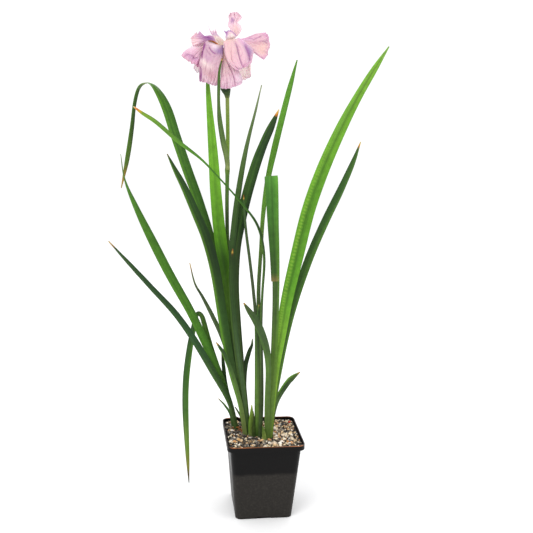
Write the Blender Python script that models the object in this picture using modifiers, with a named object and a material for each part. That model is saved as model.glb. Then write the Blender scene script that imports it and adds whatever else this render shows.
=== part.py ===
"""A Japanese water iris in flower, growing in a square black nursery pot topped with grit.

The origin is the middle of the pot's underside, +Z is up and -Y is the front.
Every size below is in millimetres, and MM turns it into Blender's metres.
"""

import math
import random

import bmesh
import bpy
from mathutils import Matrix, Vector
from mathutils.geometry import intersect_point_line

MM = 0.001
GAP = 0.3  # clear space between pieces that touch in life

# Driving dimensions of the pot
POT_HEIGHT = 95
RIM_WIDTH = 90
BASE_WIDTH = 67
WALL = 1.2
FLOOR = 1.5
LIP_HEIGHT = 6
LIP_OVERHANG = 3.5
RIM_CORNER = 9
BODY_CORNER = 7
BASE_CORNER = 6
CORNER_STEPS = 4
FOOT_BEVEL = 0.6
LIP_BEVEL = 0.4
SLOT_WIDTH = 17
SLOT_HEIGHT = 2
SLOT_DEPTH = 5
DRAIN_HOLE = 7
DRAIN_HOLE_SIDES = 16
DRAIN_SPACING = 34

# The fill of the pot
COMPOST_TOP = 84
GRAVEL_TOP = 91
GRAVEL_LUMP = 1.4
GRAVEL_CELLS = 15
CLUMP_LINE = (Vector((-30, 21)), Vector((7, -12)))
CLUMP_REACH = 14
CLUMP_FADE = 3

# The plant
FOOT = GRAVEL_TOP + GAP
LEAF_THICKNESS = 0.9
PETAL_THICKNESS = 0.9
PLEATS = 3
PETAL_ROWS = 8
PETAL_COLUMNS = 6
STYLE_COLUMNS = 4
BRACT_COLUMNS = 2
ROWS_PER_SPAN = 2
THROAT = Vector((-53, 22, 548))

# Leaves, each as the middle line of its blade from foot to tip: x, y, z and width at each station.
# The twist turns the blade about that line by so many degrees between two shares of its length.
LEAVES = {
    "leaf_left_long": ((26, 0.3, 1.0), [
        (-29, 19, FOOT, 4.5), (-38, 20, 124, 5.6), (-52.5, 21, 164, 9), (-71, 24, 206, 9.6),
        (-86, 26, 238, 10), (-110, 31, 281, 10.5), (-130, 36, 320, 10), (-149, 42, 359, 6.6),
        (-162, 47, 391, 2), (-166.5, 50, 420, 0.8)]),
    "leaf_left_low": ((-24, 0.3, 1.0), [
        (-29, 17.5, FOOT, 3.6), (-38.5, 17, 126, 6), (-59.5, 15, 167, 8), (-81, 10, 206, 8),
        (-103, 4, 240, 7.5), (-131, -5, 274, 6.5), (-155, -13, 303, 5), (-176, -22, 329, 1.2)]),
    "leaf_left_folded": ((0, 0.0, 1.0), [
        (-28, 21.2, FOOT, 5), (-36, 22.5, 121, 5), (-47, 25.5, 152, 5.5), (-61, 31, 192, 6),
        (-69.5, 36, 222, 6), (-72, 37, 229, 5.6), (-75.5, 38, 232, 5.4), (-79, 39, 228, 6),
        (-81.5, 40, 214, 7), (-86, 41, 188, 8.5), (-90, 42, 152, 9), (-91, 42, 118, 9),
        (-90, 44, 84, 8), (-88, 45, 45, 5.5), (-86, 46, 9, 1.2)]),
    "leaf_left_short": ((0, 0.0, 1.0), [
        (-27, 23.2, FOOT, 4), (-37, 25.5, 123, 4), (-43, 28, 148, 4.5), (-45.5, 30, 168, 4.5),
        (-47.5, 32, 189, 1.5)]),
    "leaf_arching": ((108, 0.42, 0.8), [
        (-17, 15.6, FOOT, 6), (-22, 17, 122, 7), (-34, 20, 178, 9), (-46, 25, 239, 11),
        (-61, 33, 316, 11), (-75, 39, 363, 11), (-89, 44, 401, 11.5), (-103, 50, 441, 11.5),
        (-114, 55, 474, 12), (-126, 58, 495, 10.5), (-136, 60, 501, 8), (-145, 62, 496, 6),
        (-150.5, 64, 478, 5.6), (-154, 69, 451, 6.5), (-160, 74, 414, 7), (-168, 80, 378, 1.2)]),
    "leaf_middle_dark": ((24, 0.4, 1.0), [
        (-19, 3.8, FOOT, 6), (-26, 3.9, 128, 7), (-38, 3.2, 175, 9.5), (-48, 1, 228, 11),
        (-58, -4, 288, 11.5), (-69, -11, 329, 11), (-82, -16, 360, 9.5), (-95, -22, 389, 7.5),
        (-105, -26, 408, 5), (-113, -30, 424, 1.2)]),
    "leaf_behind_flower": ((-14, 0.4, 1.0), [
        (-17, 7, FOOT, 6), (-23, 7, 126, 7), (-32, 7.5, 176, 10), (-41, 8.5, 243, 12),
        (-47, 9.5, 293, 13.5), (-53, 11, 331, 14), (-58, 13, 377, 13), (-62, 15.5, 428, 10.5),
        (-66, 18, 472, 7), (-68, 20, 498, 4.5), (-68, 20.5, 510, 1.8)]),
    "leaf_middle_thin": ((28, 0.4, 1.0), [
        (-17, 0.7, FOOT, 5), (-22, 0.6, 135, 6), (-30, -0.3, 197, 7), (-36, -2, 258, 7.5),
        (-40, -4, 311, 7.5), (-38, -5.5, 349, 7), (-34, -7, 385, 6.5), (-30, -9, 413, 6),
        (-25, -11, 440, 4.5), (-18, -14, 471, 3), (-12, -16, 499, 1.2)]),
    "leaf_middle_wide": ((-22, 0.5, 1.0), [
        (-16, 2.3, FOOT, 6), (-21, 2.3, 128, 7.2), (-28, 1.8, 178, 10), (-34, 1.3, 233, 11.6),
        (-37, 1, 275, 12), (-36, 0, 316, 12), (-31, -1, 348, 12), (-24, -2, 380, 11.5),
        (-15, -3, 413, 11), (-7, -4, 436, 9.6), (1, -5, 455, 8), (9, -6, 474, 1.2)]),
    "leaf_middle_narrow": ((0, 0.0, 1.0), [
        (-17, -1, FOOT, 4), (-24, -2, 149, 4.8), (-33, -4, 211, 5.2), (-39, -7, 265, 5.2),
        (-41, -9, 297, 4.3), (-40, -10, 319, 1.2)]),
    "leaf_middle_hooked": ((0, 0.0, 1.0), [
        (-15, 5.4, FOOT, 5), (-20, 5.4, 127, 5.5), (-22.5, 4.5, 152, 5.6), (-21.5, 4, 176, 5.6),
        (-17.5, 4, 193, 5), (-14.5, 3, 202, 3.2), (-14, 3, 210, 1)]),
    "leaf_middle_spike": ((0, 0.0, 1.0), [
        (-18, 14, FOOT, 4), (-27, 16, 136, 5), (-38, 18, 177, 5.4), (-49, 20, 209, 5.4),
        (-61, 22, 235, 5), (-72, 24, 256, 3.5), (-81, 25, 272, 2.2), (-87, 27, 296, 1)]),
    "leaf_middle_outer": ((0, 0.0, 1.0), [
        (-20, -2.6, FOOT + 0.2, 5), (-26, -3.2, 124, 5.5), (-34, -4, 156, 5.4), (-41, -5, 178, 5.2),
        (-48, -6, 195, 4.7), (-53, -7, 203, 3.4), (-57, -7, 209, 1.2)]),
    "leaf_centre_short": ((0, 0.0, 1.0), [
        (-6, -7.2, FOOT, 6), (-6, -7.7, 113, 6.8), (-7, -8.3, 144, 7.2), (-8, -9, 188, 6.6),
        (-10, -9.7, 224, 5.6), (-9, -10, 254, 1.6)]),
    "leaf_centre_thin": ((0, 0.0, 1.0), [
        (-7, -5.6, FOOT, 5), (-8, -5.7, 125, 5.4), (-9, -5.9, 174, 5), (-11, -6.6, 229, 4.2),
        (-15, -7.3, 267, 3.7), (-20, -8.4, 304, 3.4), (-25, -9.8, 337, 3), (-28, -11, 366, 2.2),
        (-29, -12, 380, 1)]),
    "leaf_centre_tall": ((-30, 0.4, 1.0), [
        (-5, -4, FOOT, 5), (-5, -3.2, 124, 5.5), (-6, -1.5, 173, 5.4), (-7, 1, 227, 5),
        (-8, 3, 270, 4.6), (-6, 6, 315, 4.4), (-4, 9, 355, 5), (1, 13, 395, 6.2), (8, 16, 429, 7.4),
        (16, 19, 463, 7.2), (25, 23, 499, 5.2), (33, 26, 529, 1.2)]),
    "leaf_crossing": ((0, 0.0, 1.0), [
        (-4, -9, FOOT, 5), (-3, -9.4, 132, 4.8), (-4, -11, 176, 4.2), (-6, -13, 225, 3.4),
        (-6, -16, 267, 2.9), (-5, -19, 306, 3), (-9, -22, 333, 3), (-16, -24, 351, 2.8),
        (-28, -26, 367, 2.3), (-43, -28, 384, 1.9), (-61, -32, 403, 1.7), (-78, -35, 420, 2.6),
        (-102, -39, 438, 4.1), (-124, -44, 456, 4.1), (-138, -46.5, 464, 3.2),
        (-147, -48, 471.5, 1)]),
    "leaf_right_inner": ((0, 0.0, 1.0), [
        (4, -14.5, FOOT, 6), (3, -16, 135, 6.6), (3, -18, 178, 6.8), (0, -20, 203, 8),
        (-7, -22, 225, 8.6), (-15, -23, 241, 8), (-22, -24, 251, 5.7), (-28, -25, 260, 1.4)]),
    "leaf_right_tall": ((-16, 0.3, 1.0), [
        (7, -11.3, FOOT, 7), (9, -11, 132, 8), (12, -10, 175, 10), (18, -8, 217, 12), (24, -7, 259, 14),
        (35, -4, 311, 15.5), (47, -1, 363, 15.5), (63, 2, 410, 15), (82, 5, 454, 13), (100, 8, 489, 10),
        (119, 11, 521, 6), (136, 14, 546, 1.2)]),
    "leaf_right_dark": ((26, 0.3, 1.0), [
        (8, -9.7, FOOT, 6), (11, -8, 131, 7), (17, -4, 171, 8), (25, 0, 215, 9), (36, 6, 257, 9.8),
        (52, 13, 303, 10.5), (70, 20, 344, 10.5), (89, 28, 381, 9.5), (105, 35, 415, 5.6),
        (115, 40, 439, 1.2)]),
    "leaf_right_folded": ((0, 0.0, 1.0), [
        (5, -12.9, FOOT, 6), (8, -13, 133, 7), (9.5, -13.2, 176, 7.8), (10, -13.6, 219, 7.8),
        (10, -14, 266, 8), (8, -14.3, 318, 9.2), (4, -14.5, 364, 12), (1.3, -14.5, 392, 14),
        (0.9, -14.6, 398, 14.2), (0.6, -16, 401, 14.3), (0.5, -18, 401.6, 14.4),
        (0.5, -20, 400.6, 14.3), (0.8, -21, 396.5, 14.3), (2, -21.6, 376, 13.8), (4, -22, 342, 12.3),
        (6, -22.4, 314, 10.7), (7.3, -22.8, 284, 8.8)]),
    "leaf_right_small": ((0, 0.0, 1.0), [
        (9, -8, FOOT, 4), (12, -4, 117, 5.2), (17, -2, 136, 6.2), (28, 0.5, 154, 7), (35.5, 2, 161.5, 6),
        (44.5, 4, 167.5, 1)]),
    "shoot_left": ((0, 0.0, 1.0), [
        (-33, 24.3, FOOT, 2.6), (-36, 27, 106, 3), (-43, 31, 117, 2.4), (-51, 34, 125, 0.9)]),
    "shoot_back": ((0, 0.0, 1.0), [
        (-21, 17.4, FOOT, 2.4), (-23, 20, 103, 2.7), (-28, 26, 112, 2), (-31, 28, 116, 0.9)]),
    "shoot_middle": ((0, 0.0, 1.0), [
        (-13.6, -5, FOOT, 6.4), (-14, -5, 106, 7), (-14, -4.8, 119, 4.6), (-14, -4.8, 131, 1)]),
    "shoot_dark": ((0, 0.0, 1.0), [
        (-11.2, -7.8, FOOT + 0.2, 3.2), (-11.6, -7.8, 104, 3.2), (-11.5, -8, 115, 2),
        (-12.5, -8, 124, 0.9)]),
    "shoot_pale": ((0, 0.0, 1.0), [
        (0, -17, FOOT + 0.2, 5.4), (0, -17, 96, 5), (-1, -18, 103, 3.4), (-2, -18, 109, 1)]),
}

# The flower stem, as the middle line of a round rod: x, y, z and radius.
STEM = [
    (-16, 10.6, FOOT + 0.4, 2.4), (-26, 12.3, 156, 2.4), (-35, 14, 230, 2.3), (-42, 15.5, 290, 2.3),
    (-44, 16.3, 328, 2.2), (-45, 17, 367, 2.2), (-45, 17.8, 396, 2.3), (-45, 18, 405, 2.9),
    (-45, 18.3, 414, 2.3), (-45, 19, 444, 2.2), (-46, 20, 486, 2.2)]

# The cup of green under the flower and the tube inside its skirt, from the bottom up.
CUP = [(-46, 20, 486.5, 2.4), (-46.3, 20, 489.5, 3.4), (-47, 20.4, 493, 4.8), (-48, 21, 497, 6)]
TUBE = [
    (-48.2, 21, 499, 4.4), (-49.2, 21, 509, 3.6), (-50.6, 21.5, 523, 3.6),
    (-52, 22, 533, 4.2), (-53, 22, 538.5, 5.2)]

# Petals, each as three lines from the throat to the rim: one edge, the middle and the other edge.
# Points are x, y and z from the throat.  The last number is how deep the ruffles at the rim go.
PETALS = {
    "petal_left": (1.2, [
        [(-7, 2.6, -4), (-11.5, 3, -2), (-20.5, 4, -2), (-29.5, 4, -4), (-34.5, 3, -8), (-39.5, 1, -11),
         (-45.5, -1, -16.5)],
        [(-7.5, 0, -5), (-13, -2, -5), (-21.5, -3, -8.5), (-29, -10, -14), (-34.5, -12, -19.5),
         (-38, -12, -24)],
        [(-7, -2, -6.4), (-13, -2, -7), (-18.5, 0, -8.5), (-21, -1, -15), (-23.5, -4, -20),
         (-27, -7.5, -25)]]),
    "petal_front_left": (1.0, [
        [(-5.4, -4.6, -6.4), (-12, -7.5, -2), (-19.5, -8, -4.2), (-22.5, -8.5, -14),
         (-23.5, -11, -20.5), (-27, -13, -28.5), (-25.5, -13, -37), (-25, -11, -46.5)],
        [(-3.4, -6, -6.4), (-5, -9, -6.6), (-7.5, -13, -14), (-11.5, -18, -22.5), (-13.5, -21, -31),
         (-15, -22.5, -38.5), (-16, -22.5, -44), (-17, -22, -48)],
        [(-1.2, -6.6, -6.4), (1, -8.2, -6.4), (1, -11, -15), (-0.5, -17, -23), (-2, -21, -31),
         (-2.5, -23, -38.5), (-3.5, -24, -45), (-6, -23, -52.5)]]),
    "petal_front": (0.8, [
        [(-0.2, -6.4, -8), (-0.4, -13, -26.5), (-1.8, -19, -38), (-2.8, -21.5, -46), (-3.4, -20, -53)],
        [(3.5, -6.4, -10), (5.5, -16, -26.5), (7.5, -22, -36.5), (9, -25, -45), (9.5, -25, -52.5)],
        [(6, -5, -10), (13, -13, -26), (18, -17, -33.5), (21.5, -18, -40.5), (23, -16, -45.5)]]),
    "petal_right_front": (1.0, [
        [(0.4, -7.4, -5), (1, -9.5, -2.4), (1.2, -13, -8), (2, -18, -16), (6, -22, -25.5),
         (12, -26, -31), (16, -27, -33)],
        [(4.4, -6.6, -3.6), (9.5, -8, 0), (12.5, -16, -9), (14.5, -23, -18.5), (16.5, -28, -26),
         (18.5, -30, -31), (19.5, -30, -32.5)],
        [(6.8, -4.6, -3.2), (18.5, -4, 1.5), (28, -8, -4), (34, -13, -10.5), (33.5, -17, -17),
         (31.5, -21, -24.5), (28.5, -23, -27.5)]]),
    "petal_right": (1.0, [
        [(7, 3.6, -2), (19, 3.5, 2), (29.5, 5, 5), (37, 6, 8.5), (43, 7, 10), (50.5, 6, 11)],
        [(8, 1.4, -3.4), (19.5, 0.5, -0.5), (31, 0, -1.5), (40.5, -1, -2.5), (47.5, -3, -3),
         (53.5, -4, -3)],
        [(8, -0.8, -5), (18.5, -1.5, -4.5), (28, -4, -8), (35.5, -9, -13.5), (41.5, -11, -18),
         (47, -12, -21)]]),
    "petal_upright": (0.7, [
        [(2.6, 5.6, -2), (9, 5.5, 4), (9.5, 6, 12), (7.5, 8, 16.5), (8.5, 9, 22.5), (8, 9, 26.5),
         (10, 8, 30.5)],
        [(4.6, 5.4, -2), (12, 5, 4), (15, 5, 12), (13.5, 6, 17), (14, 8, 22.5), (14.5, 8, 27),
         (14, 7, 31)],
        [(6.6, 5.6, -1), (16, 6, 4), (22, 7, 11.5), (21.5, 9, 17), (17.5, 10, 20.5), (22.5, 9, 26),
         (17.5, 8, 31)]]),
    "petal_back_right": (1.2, [
        [(7.6, 5, -4.8), (14, 7, -5), (22.5, 11, -6), (31, 16, -13), (35.5, 19, -23.5),
         (35.5, 18, -34.5)],
        [(5.6, 7, -4.8), (15, 17, -7.5), (21.5, 26, -17), (26.5, 31, -28.5), (27.5, 31, -41)],
        [(3, 8, -5), (3.5, 18, -9), (4, 27, -17), (4, 33, -29), (4, 33, -41)]]),
    "petal_back_left": (1.2, [
        [(-1, 8, -5), (-1, 18, -9), (-2, 27, -18), (-3, 32, -29), (-4, 31, -40)],
        [(-4, 7.4, -5), (-10, 15, -8.5), (-15, 22, -16.5), (-19, 26, -27), (-19, 25, -36)],
        [(-6.4, 5, -5), (-15.5, 8, -10), (-23.5, 11, -17), (-29.5, 12, -24.5), (-32, 9, -32)]]),
}

# The three style arms that roof the stamens, in the same form as the petals.
STYLES = {
    "style_left": (0.3, [
        [(-1.8, -2, -6), (-7, -4, -3), (-13.5, -5, -2), (-21, -6, -3.5), (-28, -6, -6.5),
         (-32.5, -5, -7.5)],
        [(-2.2, 0, -6), (-8, -2, 0), (-14, -2, 1.4), (-22, -3, 0.4), (-30, -3, 0.5), (-33.5, -2, -0.5)],
        [(-1.8, 1.6, -6), (-6.5, 0, 1.5), (-12.5, 1, 4.5), (-20.5, 1, 3.5), (-22.5, 1.5, 6.5),
         (-24.5, 2, 8.5), (-26.5, 2, 5.5), (-28, 2, 7.5), (-30, 1, 3)]]),
    "style_right": (0.3, [
        [(0.8, -2.8, -6), (4, -4, -0.5), (3.5, -5, 3), (4, -5, 5.5), (3, -4, 8)],
        [(2, -1.4, -6), (9, -4, 0.5), (10, -6, 4), (9, -6, 7.5), (7.5, -4, 10)],
        [(2.4, 0.6, -6), (14, -1, 2.6), (16, -1, 4.5), (15, 0, 6.5), (12, 1, 9.5)]]),
    "style_back": (0.3, [
        [(-1.2, 3, -6), (-5.5, 4, 1), (-9, 5, 4), (-12, 5.5, 7.5), (-13.5, 6, 11)],
        [(-0.2, 3.6, -6), (-3.5, 5, 1.5), (-6.5, 6.5, 4.5), (-8.5, 8, 8), (-9, 9, 11)],
        [(1, 3.2, -6), (2.5, 4, 0), (-0.5, 6, 3), (-4.5, 8, 7), (-5.5, 9, 11.5)]]),
}
STAMENS = {
    "stamen_left": [
        (-3, -3.8, -5.4, 0.5), (-5.4, -7.6, -4.4, 0.6), (-9, -9.8, -2.2, 0.9), (-14, -10, -0.8, 0.5)],
    "stamen_right": [
        (4.4, -1.6, -6.6, 0.5), (8, -2.6, -5.6, 0.6), (11.5, -3, -4.4, 0.9), (14.5, -3.2, -3.2, 0.6)],
    "stamen_back": [
        (0.4, 5.8, -5, 0.5), (-0.6, 9.6, -1, 0.6), (-2.6, 12, 2.4, 1), (-4.6, 13.4, 5, 0.6)],
}

# The leafy bract that stands from the stem's joint, in front of the petals.
BRACT = (0.0, [
    [(6, -8, -142), (3.4, -11.5, -128), (-1, -15, -111), (-5, -21.5, -88), (-5.8, -26, -70),
     (-6.4, -33, -52), (-6, -42, -36), (-3, -45.5, -24)],
    [(8, -9.5, -142), (6.4, -12.5, -128), (2, -16, -111), (-2.6, -22.5, -88), (-4.2, -27, -70),
     (-4.8, -34, -52), (-5, -43, -36), (-2.5, -46, -23)],
    [(10.4, -8, -142), (9.2, -11.5, -128), (5, -15, -111), (0, -21.5, -88), (-2.8, -26, -70),
     (-3.4, -33, -52), (-4, -42, -36), (-2, -45.5, -24)]])

MATERIALS = {
    "black_plastic": ((0.012, 0.012, 0.011), 0.38),
    "compost": ((0.03, 0.02, 0.012), 0.95),
    "gravel": ((0.42, 0.33, 0.24), 0.85),
    "bright_leaf": ((0.14, 0.32, 0.04), 0.45),
    "dark_leaf": ((0.03, 0.1, 0.025), 0.42),
    "stem": ((0.12, 0.22, 0.05), 0.5),
    "petal": ((0.74, 0.46, 0.62), 0.6),
    "style": ((0.66, 0.5, 0.66), 0.6),
    "stamen": ((0.5, 0.25, 0.06), 0.6),
}
BRIGHT_LEAVES = {
    "leaf_left_long", "leaf_arching", "leaf_behind_flower", "leaf_right_tall", "leaf_right_folded",
    "leaf_centre_tall", "leaf_crossing", "shoot_middle", "shoot_pale"}


def clear_scene():
    for item in list(bpy.data.objects):
        bpy.data.objects.remove(item)
    for block in list(bpy.data.collections):
        bpy.data.collections.remove(block)


def collection(name):
    made = bpy.data.collections.new(name)
    bpy.context.scene.collection.children.link(made)
    return made


def material(name):
    made = bpy.data.materials.get(name)
    if made is None:
        made = bpy.data.materials.new(name)
        made.use_nodes = True
        shader = made.node_tree.nodes["Principled BSDF"]
        colour, roughness = MATERIALS[name]
        shader.inputs["Base Color"].default_value = (*colour, 1)
        shader.inputs["Roughness"].default_value = roughness
        shader.inputs["Metallic"].default_value = 0
    return made


def add_object(name, mesh, finish, into):
    made = bpy.data.objects.new(name, mesh)
    mesh.materials.append(material(finish))
    into.objects.link(made)
    return made


def mesh_from(bm, name):
    mesh = bpy.data.meshes.new(name)
    bm.to_mesh(mesh)
    bm.free()
    return mesh


def curve_through(points, rows):
    """Places along a smooth curve through the points, spread evenly over its spans."""
    points = [Vector(point) for point in points]
    spans = len(points) - 1
    ends = [2 * points[0] - points[1], *points, 2 * points[-1] - points[-2]]
    places = []
    for row in range(rows + 1):
        at = row * spans / rows
        span = min(int(at), spans - 1)
        f = at - span
        a, b, c, d = ends[span:span + 4]
        places.append(0.5 * (2 * b + (c - a) * f + (2 * a - 5 * b + 4 * c - d) * f**2
                             + (3 * b - a - 3 * c + d) * f**3))
    return places


def ease(low, high, value):
    at = min(max((value - low) / (high - low), 0), 1)
    return at * at * (3 - 2 * at)


def blade_frames(places, twist):
    """For each place the point, the half width and the direction across, turned by the twist."""
    degrees, start, end = twist
    points = [place.to_3d() for place in places]
    last = len(points) - 1
    across = None
    frames = []
    for row, point in enumerate(points):
        along = (points[min(row + 1, last)] - points[max(row - 1, 0)]).normalized()
        if across is None:
            across = along.cross(Vector((0, -1, 0)))
        across = (across - along * across.dot(along)).normalized()
        angle = math.radians(degrees) * ease(start, end, row / last)
        side = Matrix.Rotation(angle, 3, along) @ across
        if row == 0:
            side = Vector((side.x, side.y, 0)).normalized()
        frames.append((point, max(places[row].w, 0.8) / 2, side))
    return frames


def sheet(name, columns, rows, place, thickness, finish, into):
    """A grid laid out by place(across, row), with across from -1 to 1, and given its thickness."""
    bm = bmesh.new()
    bmesh.ops.create_grid(bm, x_segments=columns, y_segments=rows, size=1)
    for vertex in bm.verts:
        row = round((vertex.co.y + 1) / 2 * rows)
        vertex.co = place(vertex.co.x, row) * MM
    made = add_object(name, mesh_from(bm, name), finish, into)
    solid = made.modifiers.new("Thickness", "SOLIDIFY")
    solid.thickness = thickness * MM
    solid.offset = 0
    made.data.shade_smooth()
    return made


def make_leaf(name, into):
    twist, stations = LEAVES[name]
    rows = ROWS_PER_SPAN * (len(stations) - 1)
    frames = blade_frames(curve_through(stations, rows), twist)

    def place(across, row):
        point, half, side = frames[row]
        return point + side * half * across

    finish = "bright_leaf" if name in BRIGHT_LEAVES else "dark_leaf"
    return sheet(name, 2, rows, place, LEAF_THICKNESS, finish, into)


def make_petal(name, ruffle, rails, finish, into, columns=PETAL_COLUMNS):
    rows = PETAL_ROWS
    left, middle, right = [curve_through(rail, rows) for rail in rails]

    def place(across, row):
        # A parabola through the three lines, waved along its normal towards the rim
        to_left = across * (across - 1) / 2
        to_right = across * (across + 1) / 2
        spot = left[row] * to_left + middle[row] * (1 - across * across) + right[row] * to_right
        along = middle[min(row + 1, rows)] - middle[max(row - 1, 0)]
        normal = (right[row] - left[row]).cross(along).normalized()
        wave = math.cos(across * math.pi * PLEATS) * (row / rows) ** 1.5
        return THROAT + spot + normal * ruffle * wave

    return sheet(name, columns, rows, place, PETAL_THICKNESS, finish, into)


def make_rod(name, stations, finish, into, spans=2, sides=2):
    """A round rod of changing radius along a smooth line."""
    places = curve_through(stations, spans * (len(stations) - 1))
    curve = bpy.data.curves.new(name, "CURVE")
    curve.dimensions = "3D"
    curve.bevel_depth = MM
    curve.bevel_resolution = sides
    curve.use_fill_caps = True
    line = curve.splines.new("POLY")
    line.points.add(len(places) - 1)
    for point, place in zip(line.points, places):
        point.co = (*(place.to_3d() * MM), 1)
        point.radius = place.w
    made = add_object(name, curve, finish, into)
    line.use_smooth = True
    return made


def rounded_square(bm, half, corner, height):
    """A ring of vertices round a square with round corners."""
    ring = []
    for quarter in range(4):
        turn = quarter * math.pi / 2
        for step in range(CORNER_STEPS + 1):
            angle = turn + step / CORNER_STEPS * math.pi / 2
            middle = Matrix.Rotation(turn, 2) @ Vector((half - corner, half - corner))
            x = middle.x + corner * math.cos(angle)
            y = middle.y + corner * math.sin(angle)
            ring.append(bm.verts.new(Vector((x, y, height)) * MM))
    return ring


def loft(sections):
    """A closed shell through square sections with round corners, capped at both ends."""
    bm = bmesh.new()
    rings = [rounded_square(bm, *section) for section in sections]
    count = len(rings[0])
    for low, high in zip(rings, rings[1:]):
        for i in range(count):
            j = (i + 1) % count
            bm.faces.new((low[i], low[j], high[j], high[i]))
    bm.faces.new(reversed(rings[0]))
    bm.faces.new(rings[-1])
    return bm


def body_half(height):
    """Half the pot's outside width under its lip, at a height."""
    under_lip = RIM_WIDTH / 2 - LIP_OVERHANG
    share = height / (POT_HEIGHT - LIP_HEIGHT)
    return BASE_WIDTH / 2 + (under_lip - BASE_WIDTH / 2) * share


def add_cutter(name, bm, into):
    cutter = bpy.data.objects.new(name, mesh_from(bm, name))
    cutter.display_type = "WIRE"
    cutter.hide_render = True
    into.objects.link(cutter)
    return cutter


def cut(target, cutter):
    modifier = target.modifiers.new("Cut " + cutter.name, "BOOLEAN")
    modifier.operation = "DIFFERENCE"
    modifier.object = cutter


def make_pot(into, cutters):
    half = RIM_WIDTH / 2
    lip_foot = POT_HEIGHT - LIP_HEIGHT
    ledge = lip_foot + WALL
    sections = [
        (BASE_WIDTH / 2 - FOOT_BEVEL, BASE_CORNER - FOOT_BEVEL, 0),
        (BASE_WIDTH / 2, BASE_CORNER, FOOT_BEVEL),
        (body_half(lip_foot), BODY_CORNER, lip_foot),
        (half, RIM_CORNER, lip_foot),
        (half, RIM_CORNER, POT_HEIGHT - LIP_BEVEL),
        (half - LIP_BEVEL, RIM_CORNER - LIP_BEVEL, POT_HEIGHT),
        (half - WALL, RIM_CORNER - WALL, POT_HEIGHT),
        (half - WALL, RIM_CORNER - WALL, ledge),
        (body_half(lip_foot) - WALL, BODY_CORNER - WALL, ledge),
        (body_half(FLOOR) - WALL, BASE_CORNER - WALL, FLOOR),
    ]
    pot = add_object("pot", mesh_from(loft(sections), "pot"), "black_plastic", into)
    for side in range(4):
        turn = Matrix.Rotation(side * math.pi / 2, 4, "Z")
        bm = bmesh.new()
        size = Vector((SLOT_WIDTH, SLOT_DEPTH, 2 * SLOT_HEIGHT)) * MM
        spot = Vector((0, -BASE_WIDTH / 2, 0)) * MM
        placed = turn @ Matrix.Translation(spot) @ Matrix.Diagonal((*size, 1))
        bmesh.ops.create_cube(bm, size=1, matrix=placed)
        cut(pot, add_cutter(f"drain_slot_{side + 1}", bm, cutters))
    for x in (-1, 1):
        for y in (-1, 1):
            bm = bmesh.new()
            spot = Vector((x * DRAIN_SPACING / 2, y * DRAIN_SPACING / 2, FLOOR / 2)) * MM
            bmesh.ops.create_cone(
                bm, cap_ends=True, segments=DRAIN_HOLE_SIDES, radius1=DRAIN_HOLE / 2 * MM,
                radius2=DRAIN_HOLE / 2 * MM, depth=4 * FLOOR * MM, matrix=Matrix.Translation(spot))
            cut(pot, add_cutter(f"drain_hole_{x}_{y}", bm, cutters))
    return pot


def make_compost(into):
    foot = FLOOR + GAP
    sections = [
        (body_half(foot) - WALL - GAP, BASE_CORNER - WALL, foot),
        (body_half(COMPOST_TOP) - WALL - GAP, BODY_CORNER - WALL, COMPOST_TOP),
    ]
    return add_object("compost", mesh_from(loft(sections), "compost"), "compost", into)


def make_gravel(into):
    """A bed of grit on the compost, spread over the pot's inner ledge, with a lumpy top."""
    lumps = random.Random(7)
    top_half = RIM_WIDTH / 2 - WALL - GAP
    corner_reach = 1 - (RIM_CORNER - WALL) / top_half * (1 - math.sqrt(0.5))
    rounding = 1 - corner_reach**2
    foot_half = body_half(COMPOST_TOP) - WALL - GAP
    ledge = POT_HEIGHT - LIP_HEIGHT + WALL
    bm = bmesh.new()
    bmesh.ops.create_grid(bm, x_segments=GRAVEL_CELLS, y_segments=GRAVEL_CELLS, size=1)
    for vertex in bm.verts:
        # The square grid is eased inwards towards its corners, which the pot's rim rounds
        x, y = vertex.co.xy
        flat = Vector((x * math.sqrt(1 - rounding * y**2), y * math.sqrt(1 - rounding * x**2)))
        flat *= top_half
        share = intersect_point_line(flat, *CLUMP_LINE)[1]
        near = CLUMP_LINE[0].lerp(CLUMP_LINE[1], min(max(share, 0), 1))
        clear = ease(CLUMP_REACH, CLUMP_REACH + CLUMP_FADE, (flat - near).length)
        vertex.co = Vector((flat.x, flat.y, GRAVEL_TOP + GRAVEL_LUMP * lumps.random() * clear)) * MM
    rim = [edge for edge in bm.edges if edge.is_boundary]
    for scale, height in ((1, ledge + GAP), (foot_half / top_half, ledge + GAP), (1, COMPOST_TOP + GAP)):
        grown = bmesh.ops.extrude_edge_only(bm, edges=rim)["geom"]
        for vertex in (item for item in grown if isinstance(item, bmesh.types.BMVert)):
            vertex.co.x *= scale
            vertex.co.y *= scale
            vertex.co.z = height * MM
        rim = [item for item in grown if isinstance(item, bmesh.types.BMEdge)]
    underside = bmesh.ops.edgeloop_fill(bm, edges=rim)["faces"]
    bmesh.ops.poke(bm, faces=underside)
    bmesh.ops.recalc_face_normals(bm, faces=bm.faces[:])
    return add_object("gravel", mesh_from(bm, "gravel"), "gravel", into)


def build():
    clear_scene()
    parts = collection("potted_water_iris")
    cutters = collection("pot_cutters")
    make_pot(parts, cutters)
    make_compost(parts)
    make_gravel(parts)
    for name in LEAVES:
        make_leaf(name, parts)
    make_rod("flower_stem", STEM, "stem", parts)
    make_rod("flower_cup", CUP, "dark_leaf", parts, sides=3)
    make_rod("flower_tube", TUBE, "petal", parts, sides=3)
    for name, (ruffle, rails) in PETALS.items():
        make_petal(name, ruffle, rails, "petal", parts)
    for name, (ruffle, rails) in STYLES.items():
        make_petal(name, ruffle, rails, "style", parts, columns=STYLE_COLUMNS)
    make_petal("bract", *BRACT, "stem", parts, columns=BRACT_COLUMNS)
    for name, stations in STAMENS.items():
        spots = [(*(THROAT + Vector(place[:3])), place[3]) for place in stations]
        make_rod(name, spots, "stamen", parts, sides=1)


build()
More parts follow.
